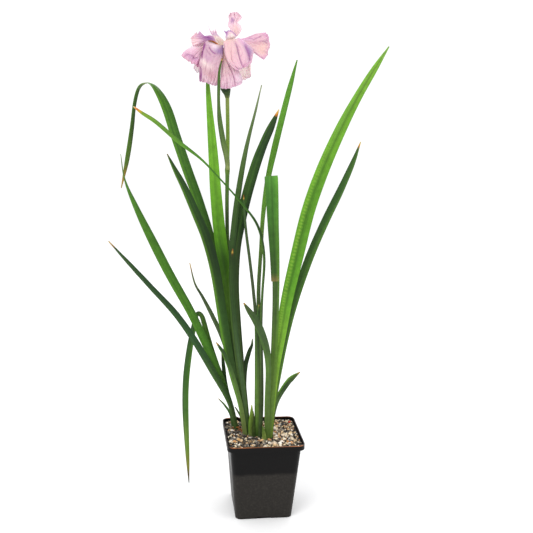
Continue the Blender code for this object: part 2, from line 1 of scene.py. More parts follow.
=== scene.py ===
"""A Japanese water iris in flower, growing in a square black nursery pot topped with grit."""

import math
import random

import bpy
from mathutils import Matrix, Vector, noise


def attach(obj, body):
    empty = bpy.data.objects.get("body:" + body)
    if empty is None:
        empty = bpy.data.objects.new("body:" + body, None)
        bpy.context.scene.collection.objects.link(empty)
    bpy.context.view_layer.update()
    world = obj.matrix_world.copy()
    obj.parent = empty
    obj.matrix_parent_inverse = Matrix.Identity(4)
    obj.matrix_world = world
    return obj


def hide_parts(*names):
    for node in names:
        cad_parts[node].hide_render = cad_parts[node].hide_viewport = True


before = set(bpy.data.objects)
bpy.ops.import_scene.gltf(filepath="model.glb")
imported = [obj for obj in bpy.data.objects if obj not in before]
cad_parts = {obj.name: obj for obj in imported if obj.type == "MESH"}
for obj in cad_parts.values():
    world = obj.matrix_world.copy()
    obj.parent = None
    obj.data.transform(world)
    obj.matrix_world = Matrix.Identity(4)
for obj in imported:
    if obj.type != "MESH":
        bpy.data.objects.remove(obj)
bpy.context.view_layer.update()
MM = 0.001

# The studio is a plain pale floor under a pale sky, with a large soft lamp at the upper left, a
# weaker one at the right and one behind.  The camera stands a little under a metre away, slightly
# left of the pot's front, and looks down a little.


def srgb(text):
    """A colour as seen on a screen, turned into linear values with full opacity."""
    parts = [int(text[i:i + 2], 16) / 255 for i in (1, 3, 5)]
    return (*(p / 12.92 if p <= 0.04045 else ((p + 0.055) / 1.055) ** 2.4 for p in parts), 1)


def add_node(tree, kind, sockets=None, **settings):
    """Adds a node with its settings, and fills each named socket with a value or a link."""
    made = tree.nodes.new("ShaderNode" + kind)
    for name, value in settings.items():
        setattr(made, name, value)
    for socket, value in (sockets or {}).items():
        if isinstance(value, bpy.types.NodeSocket):
            tree.links.new(value, made.inputs[socket])
        else:
            made.inputs[socket].default_value = value
    return made


def new_material(name):
    """A material with its own empty Principled shader, returned with its node tree."""
    made = bpy.data.materials.new(name)
    made.use_nodes = True
    return made, made.node_tree, made.node_tree.nodes["Principled BSDF"]


CAMERA_SPOT = Vector((-112, -830, 455)) * MM
CAMERA_PAN = -7.7
CAMERA_DIP = 10.7
CAMERA_ROLL = 1.4
LAMP_AIM = Vector((-0.02, 0, 0.3))
FLOOR_RADIUS = 6
FLOOR_DROP = 0.0002
camera = bpy.data.objects.new("camera", bpy.data.cameras.new("camera"))
camera.data.lens = 50
camera.data.sensor_width = 36
camera.matrix_world = (
    Matrix.Translation(CAMERA_SPOT)
    @ Matrix.Rotation(math.radians(CAMERA_PAN), 4, "Z")
    @ Matrix.Rotation(math.radians(90 - CAMERA_DIP), 4, "X")
    @ Matrix.Rotation(math.radians(CAMERA_ROLL), 4, "Z"))
bpy.context.scene.collection.objects.link(camera)
bpy.context.scene.camera = camera

sky = bpy.data.worlds.new("pale_sky")
sky.use_nodes = True
sky.node_tree.nodes["Background"].inputs["Color"].default_value = srgb("#fdfdff")
sky.node_tree.nodes["Background"].inputs["Strength"].default_value = 1.12
bpy.context.scene.world = sky
bpy.context.scene.view_settings.view_transform = "Standard"

for name, spot, size, watts in (
        ("lamp_left", (-0.9, -1.0, 1.5), 0.9, 12),
        ("lamp_right", (1.2, -0.7, 0.9), 0.8, 3),
        ("lamp_behind", (0.3, 1.3, 1.3), 0.8, 4)):
    lamp = bpy.data.objects.new(name, bpy.data.lights.new(name, "AREA"))
    lamp.data.size = size
    lamp.data.energy = watts
    lamp.location = spot
    lamp.rotation_euler = (LAMP_AIM - Vector(spot)).to_track_quat("-Z", "Y").to_euler()
    bpy.context.scene.collection.objects.link(lamp)

bpy.ops.object.select_all(action="DESELECT")
bpy.ops.mesh.primitive_circle_add(
    vertices=96, radius=FLOOR_RADIUS, fill_type="NGON", location=(0, 0, -FLOOR_DROP))
floor = bpy.context.object
floor.name = "floor"
floor_paper, tree, shader = new_material("matt_white_paper")
shader.inputs["Base Color"].default_value = srgb("#f8f8f7")
shader.inputs["Roughness"].default_value = 0.9
floor.data.materials.append(floor_paper)

# The pot is one piece of black polypropylene, injection moulded with thin tapering walls, rounded
# corners and a turned-out lip.  Notches in its lower edge and holes in its floor let water out.
POT_HEIGHT = 95
RIM_WIDTH = 90
BASE_WIDTH = 67
WALL = 1.2
FLOOR_THICKNESS = 1.5
LIP_HEIGHT = 6
LIP_OVERHANG = 3.5
BASE_CORNER = 6
FOOT_CHAMFER = 0.6
NOTCH = Vector((17, 5, 4))
HOLE_RADIUS = 3.5
HOLE_OFFSET = 17
EDGE_ROUNDING = 0.35
LIP_FOOT = POT_HEIGHT - LIP_HEIGHT


def body_half(height):
    """Half the pot's outside width below its lip."""
    under_lip = RIM_WIDTH / 2 - LIP_OVERHANG
    return BASE_WIDTH / 2 + (under_lip - BASE_WIDTH / 2) * height / LIP_FOOT


def apply_modifiers(piece):
    """Makes every modifier of the piece part of its mesh."""
    bpy.context.view_layer.objects.active = piece
    for modifier in list(piece.modifiers):
        bpy.ops.object.modifier_apply(modifier=modifier.name)


def cut_away(piece, cutter):
    """Takes the cutter's shape out of the piece, and the cutter out of the scene."""
    cut = piece.modifiers.new("cut", "BOOLEAN")
    cut.operation = "DIFFERENCE"
    cut.solver = "EXACT"
    cut.object = cutter
    apply_modifiers(piece)
    bpy.data.objects.remove(cutter)


bpy.ops.object.select_all(action="DESELECT")
bpy.ops.mesh.primitive_plane_add(size=(BASE_WIDTH - 2 * FOOT_CHAMFER) * MM)
pot = bpy.context.object
pot.name = "pot_moulding"
bpy.ops.object.mode_set(mode="EDIT")
bpy.ops.mesh.select_all(action="SELECT")
bpy.ops.mesh.bevel(offset=BASE_CORNER * MM, segments=12, affect="VERTICES")
bpy.ops.mesh.select_all(action="SELECT")
half, height = BASE_WIDTH / 2 - FOOT_CHAMFER, 0
for next_half, next_height in (
        (BASE_WIDTH / 2, FOOT_CHAMFER),
        (body_half(LIP_FOOT), LIP_FOOT),
        (RIM_WIDTH / 2, LIP_FOOT),
        (RIM_WIDTH / 2, POT_HEIGHT),
        (RIM_WIDTH / 2 - WALL, POT_HEIGHT),
        (RIM_WIDTH / 2 - WALL, LIP_FOOT + WALL),
        (body_half(LIP_FOOT) - WALL, LIP_FOOT + WALL),
        (body_half(FLOOR_THICKNESS) - WALL, FLOOR_THICKNESS)):
    bpy.ops.mesh.extrude_region_move(
        TRANSFORM_OT_translate={"value": (0, 0, (next_height - height) * MM)})
    grow = next_half / half
    bpy.ops.transform.resize(value=(grow, grow, 1), center_override=(0, 0, next_height * MM))
    half, height = next_half, next_height
bpy.ops.object.mode_set(mode="OBJECT")

# The block that cuts a notch is centred on the lower edge, so the notch is half as tall as the block
for side in range(4):
    bpy.ops.object.select_all(action="DESELECT")
    bpy.ops.mesh.primitive_cube_add(size=1, location=(0, 0, 0))
    notch = bpy.context.object
    turn = Matrix.Rotation(side * math.pi / 2, 4, "Z")
    to_edge = Matrix.Translation(Vector((0, -BASE_WIDTH / 2, 0)) * MM)
    notch.data.transform(turn @ to_edge @ Matrix.Diagonal((*(NOTCH * MM), 1)))
    cut_away(pot, notch)
for x in (-HOLE_OFFSET, HOLE_OFFSET):
    for y in (-HOLE_OFFSET, HOLE_OFFSET):
        bpy.ops.object.select_all(action="DESELECT")
        bpy.ops.mesh.primitive_cylinder_add(vertices=32, radius=HOLE_RADIUS * MM, depth=8 * MM)
        hole = bpy.context.object
        hole.data.transform(Matrix.Translation(Vector((x, y, 0)) * MM))
        cut_away(pot, hole)
soften = pot.modifiers.new("soft_edges", "BEVEL")
soften.width = EDGE_ROUNDING * MM
soften.segments = 3
soften.limit_method = "ANGLE"
soften.angle_limit = math.radians(40)
apply_modifiers(pot)
bpy.ops.object.shade_smooth_by_angle(angle=math.radians(35))

# Black polypropylene from a lightly etched mould: satin, with a fine grain, a lighter film on its
# lower two thirds that is painted reflection of the floor as well as dust and dried splashes, and
# soil rubbed along the front and back of the lip's top.  The film lies in clouds of 18 mm and
# specks of 2.4 mm.

# Each pair is where the lighter film or the soil starts and where it is full, in metres
DUST_AND_REFLECTION_ENDS = (0.0625, 0.0575)
LIP_SOIL_HEIGHT = (0.0943, 0.0948)
LIP_SOIL_REACH = (0.0415, 0.0432)
polypropylene, tree, shader = new_material("moulded_black_polypropylene")
spot = add_node(tree, "TexCoord").outputs["Object"]
xyz = add_node(tree, "SeparateXYZ", {0: spot})
cloud = add_node(tree, "TexNoise", {"Vector": spot, "Scale": 55, "Detail": 5, "Roughness": 0.65})
wander = add_node(tree, "Math", {0: cloud.outputs["Fac"], 1: 0.004, 2: xyz.outputs["Z"]},
                  operation="MULTIPLY_ADD")
low = add_node(tree, "MapRange", {0: wander.outputs[0], 1: DUST_AND_REFLECTION_ENDS[0], 2: DUST_AND_REFLECTION_ENDS[1], 3: 0, 4: 1},
               interpolation_type="SMOOTHSTEP")
specks = add_node(tree, "TexNoise", {"Vector": spot, "Scale": 420, "Detail": 4, "Roughness": 0.7})
speck_mask = add_node(tree, "MapRange", {0: specks.outputs["Fac"], 1: 0.45, 2: 0.72, 3: 0.5, 4: 0.9})
# The lighter film on the lower part is painted reflection of the floor as well as specked dust
dust_and_reflection = add_node(tree, "Math", {0: low.outputs[0], 1: speck_mask.outputs[0]}, operation="MULTIPLY")
base = add_node(tree, "Mix", {0: dust_and_reflection.outputs[0], 6: srgb("#0a0909"), 7: srgb("#33302c")}, data_type="RGBA")
lip_top = add_node(tree, "MapRange", {0: xyz.outputs["Z"], 1: LIP_SOIL_HEIGHT[0], 2: LIP_SOIL_HEIGHT[1],
                                      3: 0, 4: 0.95})
away = add_node(tree, "Math", {0: xyz.outputs["Y"]}, operation="ABSOLUTE")
ends = add_node(tree, "MapRange", {0: away.outputs[0], 1: LIP_SOIL_REACH[0], 2: LIP_SOIL_REACH[1],
                                   3: 0.05, 4: 1})
smear = add_node(tree, "Math", {0: lip_top.outputs[0], 1: ends.outputs[0]}, operation="MULTIPLY")
patchy = add_node(tree, "MapRange", {0: cloud.outputs["Fac"], 1: 0.44, 2: 0.52, 3: 0.5, 4: 1})
soiled = add_node(tree, "Math", {0: smear.outputs[0], 1: patchy.outputs[0]}, operation="MULTIPLY")
topped = add_node(tree, "Mix", {0: soiled.outputs[0], 6: base.outputs[2], 7: srgb("#9c6038")},
                  data_type="RGBA")
tree.links.new(topped.outputs[2], shader.inputs["Base Color"])
scuff_map = add_node(tree, "Mapping", {0: spot, "Scale": (900, 900, 60)})
scuffs = add_node(tree, "TexNoise", {"Vector": scuff_map.outputs[0], "Scale": 1, "Detail": 3})
shine = add_node(tree, "MapRange", {0: scuffs.outputs["Fac"], 1: 0.35, 2: 0.75, 3: 0.3, 4: 0.46})
dulled = add_node(tree, "Math", {0: dust_and_reflection.outputs[0], 1: 0.16, 2: shine.outputs[0]},
                  operation="MULTIPLY_ADD")
tree.links.new(dulled.outputs[0], shader.inputs["Roughness"])
# The etched grain is about 0.3 mm across and is drawn at 0.8 mm, so that it shows
grain = add_node(tree, "TexNoise", {"Vector": spot, "Scale": 1250, "Detail": 2})
grain_bump = add_node(tree, "Bump", {"Strength": 0.25, "Distance": 0.00012, "Height": grain.outputs["Fac"]})
wave_bump = add_node(tree, "Bump", {"Strength": 0.35, "Distance": 0.0012, "Height": cloud.outputs["Fac"],
                                    "Normal": grain_bump.outputs[0]})
tree.links.new(wave_bump.outputs[0], shader.inputs["Normal"])
shader.inputs["Specular IOR Level"].default_value = 0.12
pot.data.materials.append(polypropylene)
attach(pot, "root")
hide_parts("pot")

# The compost is dark peat and bark that fills the pot up to the grit.  It shows only through the
# drain holes, as a damp surface with crumbs of 2.4 mm and fibres of 1 mm.
peat, tree, shader = new_material("damp_peat_compost")
spot = add_node(tree, "TexCoord").outputs["Object"]
crumbs = add_node(tree, "TexVoronoi", {"Vector": spot, "Scale": 420})
fibres = add_node(tree, "TexNoise", {"Vector": spot, "Scale": 900, "Detail": 4})
dark = add_node(tree, "Mix", {0: crumbs.outputs["Distance"], 6: srgb("#3a2a1e"), 7: srgb("#15100c")},
                data_type="RGBA")
light = add_node(tree, "Mix", {0: fibres.outputs["Fac"], 6: dark.outputs[2], 7: srgb("#5b4431")},
                 data_type="RGBA")
tree.links.new(light.outputs[2], shader.inputs["Base Color"])
shader.inputs["Roughness"].default_value = 0.95
crumb_bump = add_node(tree, "Bump", {"Strength": 0.8, "Distance": 0.001,
                                     "Height": crumbs.outputs["Distance"]})
tree.links.new(crumb_bump.outputs[0], shader.inputs["Normal"])
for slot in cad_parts["compost"].material_slots:
    slot.material = peat

# The top dressing is washed river grit: rounded and chipped stones of 3 to 6 mm, cream, tan, rust
# and grey, lying loose on dark peaty silt that shows black between them.  The black of the silt and
# of many fine grains is painted shade in the gaps as well as dark soil.  The plant stands in a
# shallow dip, dark stones gather round its feet as painted shade under the leaves, and the left half
# is greyer and dirtier.
CLUMP_LINE = (Vector((-30, 21)), Vector((7, -12)))
GRIT_HALF = RIM_WIDTH / 2 - WALL - 0.4
LEDGE_TOP = LIP_FOOT + WALL
LEDGE_START = 37
LARGEST_ON_LEDGE = 3.4
BED_CORNER = 8.6
BED_SWELL = 0.7
SWELL_REACH = (40, 12)
DIP_DEPTH = 2.2
DIP_REACH = (12, 3)
STONE_SHAPES = 10
FINE_GRAINS = 3400
BED_CELLS = 40
PALE_STONES = ("#f8ead0", "#f2dcb4", "#ead0a0", "#fbf2e2", "#dcae70", "#d0965a", "#e8d2b6", "#e4c496",
               "#f4e2c0")
DARK_STONES = ("#8f8a82", "#6d675f", "#57493a", "#7a6446", "#443d37", "#9a8a6c", "#38322d", "#2c2723")


def ease(low, high, value):
    """A smooth rise from 0 at low to 1 at high, which may lie either way round."""
    at = min(max((value - low) / (high - low), 0), 1)
    return at * at * (3 - 2 * at)


def from_clump(x, y):
    """How far a point of the bed is from the line on which the plant grows."""
    start, end = CLUMP_LINE
    way = end - start
    share = min(max((Vector((x, y)) - start).dot(way) / way.length_squared, 0), 1)
    return (Vector((x, y)) - start - way * share).length


def bed_level(x, y):
    """How high the bed stands at a point: lumpy, with a swell towards the plant and a dip round it."""
    off = from_clump(x, y)
    lumps = 0.6 * abs(noise.noise(Vector((x, y, 0)) * 0.09))
    return LEDGE_TOP + 0.3 + BED_SWELL * ease(*SWELL_REACH, off) - DIP_DEPTH * ease(*DIP_REACH, off) + lumps


def in_pot(x, y, margin):
    """Whether a point lies on the bed, a rounded square, at least the margin from its edge."""
    past = Vector((max(abs(x) - GRIT_HALF + BED_CORNER, 0), max(abs(y) - GRIT_HALF + BED_CORNER, 0)))
    return past.length < BED_CORNER - margin and max(abs(x), abs(y)) < GRIT_HALF - margin


def chip_stone(number):
    """One stone: a ball squashed, knocked uneven and split flat in a few places."""
    chips = random.Random(number)
    bpy.ops.object.select_all(action="DESELECT")
    bpy.ops.mesh.primitive_ico_sphere_add(subdivisions=2, radius=0.5)
    stone = bpy.context.object
    for vertex in stone.data.vertices:
        vertex.co *= 1 + 0.3 * noise.noise(vertex.co * 2.4 + Vector((number * 7, 0, 0)))
    bpy.ops.object.mode_set(mode="EDIT")
    bpy.ops.mesh.select_all(action="SELECT")
    bpy.ops.transform.resize(value=(1.15, chips.uniform(0.6, 0.9), chips.uniform(0.5, 0.68)))
    for _ in range(3):
        bpy.ops.mesh.select_all(action="SELECT")
        way = Vector((chips.uniform(-1, 1), chips.uniform(-1, 1), chips.uniform(-1, 1))).normalized()
        bpy.ops.mesh.bisect(
            plane_co=way * chips.uniform(0.3, 0.42), plane_no=way, use_fill=True, clear_outer=True)
    bpy.ops.mesh.select_all(action="SELECT")
    bpy.ops.mesh.quads_convert_to_tris()
    bpy.ops.object.mode_set(mode="OBJECT")
    points = [vertex.co.copy() for vertex in stone.data.vertices]
    faces = [tuple(face.vertices) for face in stone.data.polygons]
    bpy.data.objects.remove(stone)
    return points, faces


def scatter(name, shapes, places):
    """One mesh of many stones. Each place gives where, how large, how turned and which colour."""
    points, faces, tones = [], [], []
    for shape, (spot, size, turn, tone) in places:
        first = len(points)
        local_points, local_faces = shapes[shape]
        points += [(turn @ (point * size) + spot) * MM for point in local_points]
        faces += [tuple(first + corner for corner in face) for face in local_faces]
        tones += [tone] * len(local_points)
    mesh = bpy.data.meshes.new(name)
    mesh.from_pydata(points, [], faces)
    colours = mesh.color_attributes.new("stone_colour", "FLOAT_COLOR", "POINT")
    colours.data.foreach_set("color", [value for tone in tones for value in tone])
    made = bpy.data.objects.new(name, mesh)
    bpy.context.scene.collection.objects.link(made)
    bpy.ops.object.select_all(action="DESELECT")
    made.select_set(True)
    bpy.context.view_layer.objects.active = made
    bpy.ops.object.shade_smooth_by_angle(angle=math.radians(38))
    return made


def any_turn(dice, lean):
    """A random turn about the upright and a lean from the flat of up to so many radians."""
    return (Matrix.Rotation(dice.uniform(0, 2 * math.pi), 3, "Z")
            @ Matrix.Rotation(dice.uniform(-lean, lean), 3, "X")
            @ Matrix.Rotation(dice.uniform(-lean, lean), 3, "Y"))


def stone_tone(dice, x, dark_share):
    """A stone's colour. Dark share is the share of dark ones on the right, and there are more on the left.
    """
    dark = dice.random() < dark_share + 0.22 * ease(12, -26, x)
    colour = srgb(dice.choice(DARK_STONES if dark else PALE_STONES))
    shade = dice.uniform(0.7, 1.1)
    return (*(value * shade for value in colour[:3]), 1)


stone_shapes = [chip_stone(number) for number in range(STONE_SHAPES)]
dice = random.Random(21)
placed = []
# Two passes of a loose grid: the stones pressed into the bed, and fewer that lie on top of them
for spacing, least, most, share, lift in ((4, 2.6, 5.6, 0.86, 0.15), (4.4, 2.4, 5, 0.4, 0.8)):
    steps = int(2 * GRIT_HALF / spacing)
    for column in range(steps + 1):
        for line in range(steps + 1):
            x = -GRIT_HALF + (column + 0.5 * (line % 2) + dice.uniform(-0.35, 0.35)) * spacing
            y = -GRIT_HALF + (line + dice.uniform(-0.35, 0.35)) * spacing
            size = least + (most - least) * dice.random() ** 1.4
            # Dark stones grow more common towards the plant's feet, as painted shade under the leaves
            tone = stone_tone(dice, x, 0.26 + 0.4 * ease(14, 4, from_clump(x, y)))
            turn = any_turn(dice, 0.6)
            shape = dice.randrange(len(stone_shapes))
            if dice.random() > share or not in_pot(x, y, size * 0.55):
                continue
            if lift > 0.5 and from_clump(x, y) < 4.5:
                continue
            height = bed_level(x, y) + lift * size * 0.55
            if max(abs(x), abs(y)) > LEDGE_START:
                size = min(size, LARGEST_ON_LEDGE)
                height = max(bed_level(x, y), LEDGE_TOP + 0.42 * size)
            placed.append((shape, (Vector((x, y, height)), size, turn, tone)))
# One brick-red stone lies near the back right corner
placed.append((3, (Vector((38.4, 32, 92.6)), 4, any_turn(dice, 0.4), srgb("#dc5024"))))
stones = scatter("grit_stones", stone_shapes, placed)

bpy.ops.object.select_all(action="DESELECT")
bpy.ops.mesh.primitive_ico_sphere_add(subdivisions=1, radius=0.5)
crumb = bpy.context.object
crumb_shape = [([v.co * (1 + 0.3 * noise.noise(v.co * 3)) for v in crumb.data.vertices],
                [tuple(f.vertices) for f in crumb.data.polygons])]
bpy.data.objects.remove(crumb)
fines = []
for _ in range(FINE_GRAINS):
    x, y = dice.uniform(-GRIT_HALF, GRIT_HALF), dice.uniform(-GRIT_HALF, GRIT_HALF)
    size = 0.6 + 1.9 * dice.random() ** 2
    tone = stone_tone(dice, x, 0.5)
    # Most fine grains are darkened almost to black: dark soil, and painted shade in the gaps between the
    # stones
    if dice.random() < 0.6:
        tone = (*(value * 0.08 for value in tone[:3]), 1)
    height = bed_level(x, y) + dice.uniform(0.1, 0.9)
    if in_pot(x, y, 0.8):
        spot = Vector((x, y, max(height, LEDGE_TOP + size * 0.6)))
        fines.append((0, (spot, size, any_turn(dice, 3), tone)))
# Three crumbs of soil stick together on the back rim
for across, size in ((-28.6, 2.2), (-27, 2.8), (-25.6, 1.8)):
    spot = Vector((across, 43.6, POT_HEIGHT + size * 0.3))
    fines.append((0, (spot, size, any_turn(dice, 3), srgb("#2a1a12"))))
fine_grit = scatter("fine_grit", crumb_shape, fines)

# Quartz and flint worn smooth in a river: matt, flecked at two thirds of a millimetre, and some
# with a cream patch 3 mm across.
river_stone, tree, shader = new_material("washed_river_stone")
spot = add_node(tree, "TexCoord").outputs["Object"]
tone = add_node(tree, "Attribute", attribute_name="stone_colour")
fleck = add_node(tree, "TexNoise", {"Vector": spot, "Scale": 1500, "Detail": 4, "Roughness": 0.7})
fleck_mask = add_node(tree, "MapRange", {0: fleck.outputs["Fac"], 1: 0.35, 2: 0.7, 3: 0.6, 4: 1.25})
patch = add_node(tree, "TexNoise", {"Vector": spot, "Scale": 330, "Detail": 3})
patch_mask = add_node(tree, "MapRange", {0: patch.outputs["Fac"], 1: 0.54, 2: 0.7, 3: 0, 4: 0.35})
flecked = add_node(tree, "Mix", {0: 1.0, 6: tone.outputs["Color"], 7: fleck_mask.outputs[0]},
                   data_type="RGBA", blend_type="MULTIPLY")
worn = add_node(tree, "Mix", {0: patch_mask.outputs[0], 6: flecked.outputs[2], 7: srgb("#e8dcc6")},
                data_type="RGBA")
tree.links.new(worn.outputs[2], shader.inputs["Base Color"])
dull = add_node(tree, "MapRange", {0: patch.outputs["Fac"], 1: 0.3, 2: 0.7, 3: 0.55, 4: 0.85})
tree.links.new(dull.outputs[0], shader.inputs["Roughness"])
stone_bump = add_node(tree, "Bump", {"Strength": 0.5, "Distance": 0.0003, "Height": fleck.outputs["Fac"]})
tree.links.new(stone_bump.outputs[0], shader.inputs["Normal"])
stones.data.materials.append(river_stone)
fine_grit.data.materials.append(river_stone)


def grid_piece(name, columns, rows):
    """A flat grid from -1 to 1 both ways, whose points are then laid where the piece has them."""
    bpy.ops.object.select_all(action="DESELECT")
    bpy.ops.mesh.primitive_grid_add(x_subdivisions=columns, y_subdivisions=rows, size=2)
    piece = bpy.context.object
    piece.name = name
    return piece


def thicken(piece, thickness, offset=0, group=""):
    """Gives a sheet its thickness, on both sides or under it, and less where its group says so."""
    wall = piece.modifiers.new("thickness", "SOLIDIFY")
    wall.thickness = thickness * MM
    wall.offset = offset
    wall.vertex_group = group
    apply_modifiers(piece)


# Under the loose stones lies a bed of black peaty silt, laid as a thin sheet that rests on the
# pot's inner ledge; its near-black colour is partly painted shade between the stones.  Its corners
# are drawn in to follow the rounded wall.
CORNER_DRAW = 0.13
SILT_THICKNESS = 0.2
bed = grid_piece("silt_bed", BED_CELLS, BED_CELLS)
for vertex in bed.data.vertices:
    x, y = vertex.co.xy
    x, y = (x * math.sqrt(1 - CORNER_DRAW * y * y) * GRIT_HALF,
            y * math.sqrt(1 - CORNER_DRAW * x * x) * GRIT_HALF)
    vertex.co = Vector((x, y, bed_level(x, y) + 0.25 * noise.noise(Vector((x, y, 5)) * 0.6))) * MM
thicken(bed, SILT_THICKNESS, offset=-1)
silt_and_gap_shade, tree, shader = new_material("dark_silt_and_painted_gap_shade")
spot = add_node(tree, "TexCoord").outputs["Object"]
grains = add_node(tree, "TexVoronoi", {"Vector": spot, "Scale": 700})
# Near-black peat: dark soil, and painted shade in the gaps between the stones
silt_and_gap_shade_colour = add_node(tree, "Mix", {0: grains.outputs["Distance"], 6: srgb("#2c231c"), 7: srgb("#0c0908")},
                    data_type="RGBA")
tree.links.new(silt_and_gap_shade_colour.outputs[2], shader.inputs["Base Color"])
shader.inputs["Roughness"].default_value = 0.95
silt_bump = add_node(tree, "Bump", {"Strength": 0.8, "Distance": 0.0008,
                                    "Height": grains.outputs["Distance"]})
tree.links.new(silt_bump.outputs[0], shader.inputs["Normal"])
bed.data.materials.append(silt_and_gap_shade)
for piece in (stones, fine_grit, bed):
    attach(piece, "root")
    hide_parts("gravel")

# The plant is a row of flat fans.  Each leaf is a sword-shaped blade that grew edge-on out of the
# fold of the one before it, with a raised midrib, fine veins along it and thin edges.  Its tip
# dries to straw and then to brown.  Light and shade are painted into its greens.
LEAF_THICKNESS = 0.9
LEAF_ROOT = 86.5
LEAF_COLUMNS = 12
ROWS_PER_SPAN = 9
NARROWEST = 0.5
FLUTTER = 0.35
MIDRIB = 0.16
BRIGHT = Vector(srgb("#86c83a"))
DEEP = Vector(srgb("#152a12"))


def curve_through(points, rows):
    """Places along a smooth curve through the points, spread evenly over its spans."""
    points = [Vector(point) for point in points]
    spans = len(points) - 1
    ends = [2 * points[0] - points[1], *points, 2 * points[-1] - points[-2]]
    places = []
    for row in range(rows + 1):
        at = row * spans / rows
        span = min(int(at), spans - 1)
        f = at - span
        a, b, c, d = ends[span:span + 4]
        places.append(0.5 * (2 * b + (c - a) * f + (2 * a - 5 * b + 4 * c - d) * f**2
                             + (3 * b - a - 3 * c + d) * f**3))
    return places


def along_stops(stops, at):
    """The colour at a share of the length, between colours given at rising shares."""
    for (low, first), (high, second) in zip(stops, stops[1:]):
        if at <= high:
            return Vector(srgb(first)).lerp(Vector(srgb(second)), ease(low, high, at))
    return Vector(srgb(stops[-1][1]))


def paint(piece, name, values):
    """Keeps a value or a colour for each point of the mesh, for its material to read."""
    if isinstance(values[0], float):
        piece.data.attributes.new(name, "FLOAT", "POINT").data.foreach_set("value", values)
    else:
        held = piece.data.color_attributes.new(name, "FLOAT_COLOR", "POINT")
        held.data.foreach_set("color", [part for value in values for part in value])


def frames_along(stations, rows, front):
    """Each row along a smooth line: its place, its size, the way on and the way across.

    The first way across is at right angles to front, and the rest never flip.
    """
    places = curve_through(stations, rows)
    spots = [place.to_3d() for place in places]
    across = None
    frames = []
    for row, spot in enumerate(spots):
        way = (spots[min(row + 1, rows)] - spots[max(row - 1, 0)]).normalized()
        if across is None:
            across = way.cross(front)
        across = (across - way * across.dot(way)).normalized()
        frames.append((spot, places[row].w, way, across))
    return frames


def grow_leaf(node, foot, stations, tones, twist=(0, 0, 1), edge_light_and_shade=(0, 0), rib_light_and_shade=0.0, fold=0.06,
              dry=(0.95, 1.0), skin=None):
    """A blade from its foot, x, y and width, along stations of x, y, z and width to its tip.

    The foot stands at LEAF_ROOT, a few millimetres down in the grit.  Tones are its greens from
    foot to tip, with light and shade painted into them: lighter where the blade faces the light,
    darker where it is shaded or shows its shaded side.  Twist says by how many degrees it turns,
    and between which shares of its length.  Edge_light_and_shade paints light or shade on the two
    edges across the fold, and rib_light_and_shade on the middle: towards bright if over nought and
    towards deep green if under it.  Fold is how deep it is folded, as a share of its width.  Dry
    says where the tip starts to turn and where it is brown.
    """
    stations = [(*foot[:2], LEAF_ROOT, foot[2]), *stations]
    rows = ROWS_PER_SPAN * (len(stations) - 1)
    degrees, start, end = twist
    frames = []
    for row, (spot, width, way, across) in enumerate(frames_along(stations, rows, Vector((0, -1, 0)))):
        angle = math.radians(degrees) * ease(start, end, row / rows)
        side = Matrix.Rotation(angle, 3, way) @ across
        frames.append((spot, max(width, NARROWEST) / 2, side, side.cross(way).normalized()))
    leaf = grid_piece(node + "_blade", LEAF_COLUMNS, rows)
    group = leaf.vertex_groups.new(name="thick")
    colours, dryness = [], []
    seed = Vector((len(node) * 3.7, stations[1][0] * 0.13, 0))
    for vertex in leaf.data.vertices:
        u, v = vertex.co.x, (vertex.co.y + 1) / 2
        spot, half, side, face = frames[round(v * rows)]
        flutter = FLUTTER * noise.noise(seed + Vector((u * 0.8, v * 16, 0))) * ease(0.1, 0.3, v)
        cup = fold * half * 2 * (1 - abs(u)) + flutter
        vertex.co = (spot + side * half * u + face * cup) * MM
        # The edges are 0.3 times as thick as the midrib
        ridge = max(1 - abs(u) / MIDRIB, 0)
        group.add([vertex.index], 0.3 + 0.35 * (1 - u * u) + 0.35 * ridge, "REPLACE")
        tone = along_stops(tones, v)
        streak = noise.noise(seed + Vector((u * 2.2, v * 3.5, 9)))
        # Painted light and shade across the fold at the edges and midrib, with random streaks of tone
        light_shade_and_streak = edge_light_and_shade[0] * ease(-0.25, -0.8, u) + edge_light_and_shade[1] * ease(0.25, 0.8, u)
        light_shade_and_streak += rib_light_and_shade * ease(0.3, 0.05, abs(u))
        light_shade_and_streak = light_shade_and_streak * ease(0.08, 0.22, v) + 0.13 * streak
        tone = tone.lerp(BRIGHT if light_shade_and_streak > 0 else DEEP, min(abs(light_shade_and_streak), 0.9))
        colours.append(tuple(tone))
        dryness.append(min(max((v - dry[0]) / (dry[1] - dry[0]), 0.0), 1.0))
    paint(leaf, "leaf_colour", colours)
    paint(leaf, "dryness", dryness)
    thicken(leaf, LEAF_THICKNESS, group="thick")
    bpy.ops.object.shade_smooth_by_angle(angle=math.radians(50))
    leaf.data.materials.append(skin or leaf_skin)
    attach(leaf, "root")
    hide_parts(node)


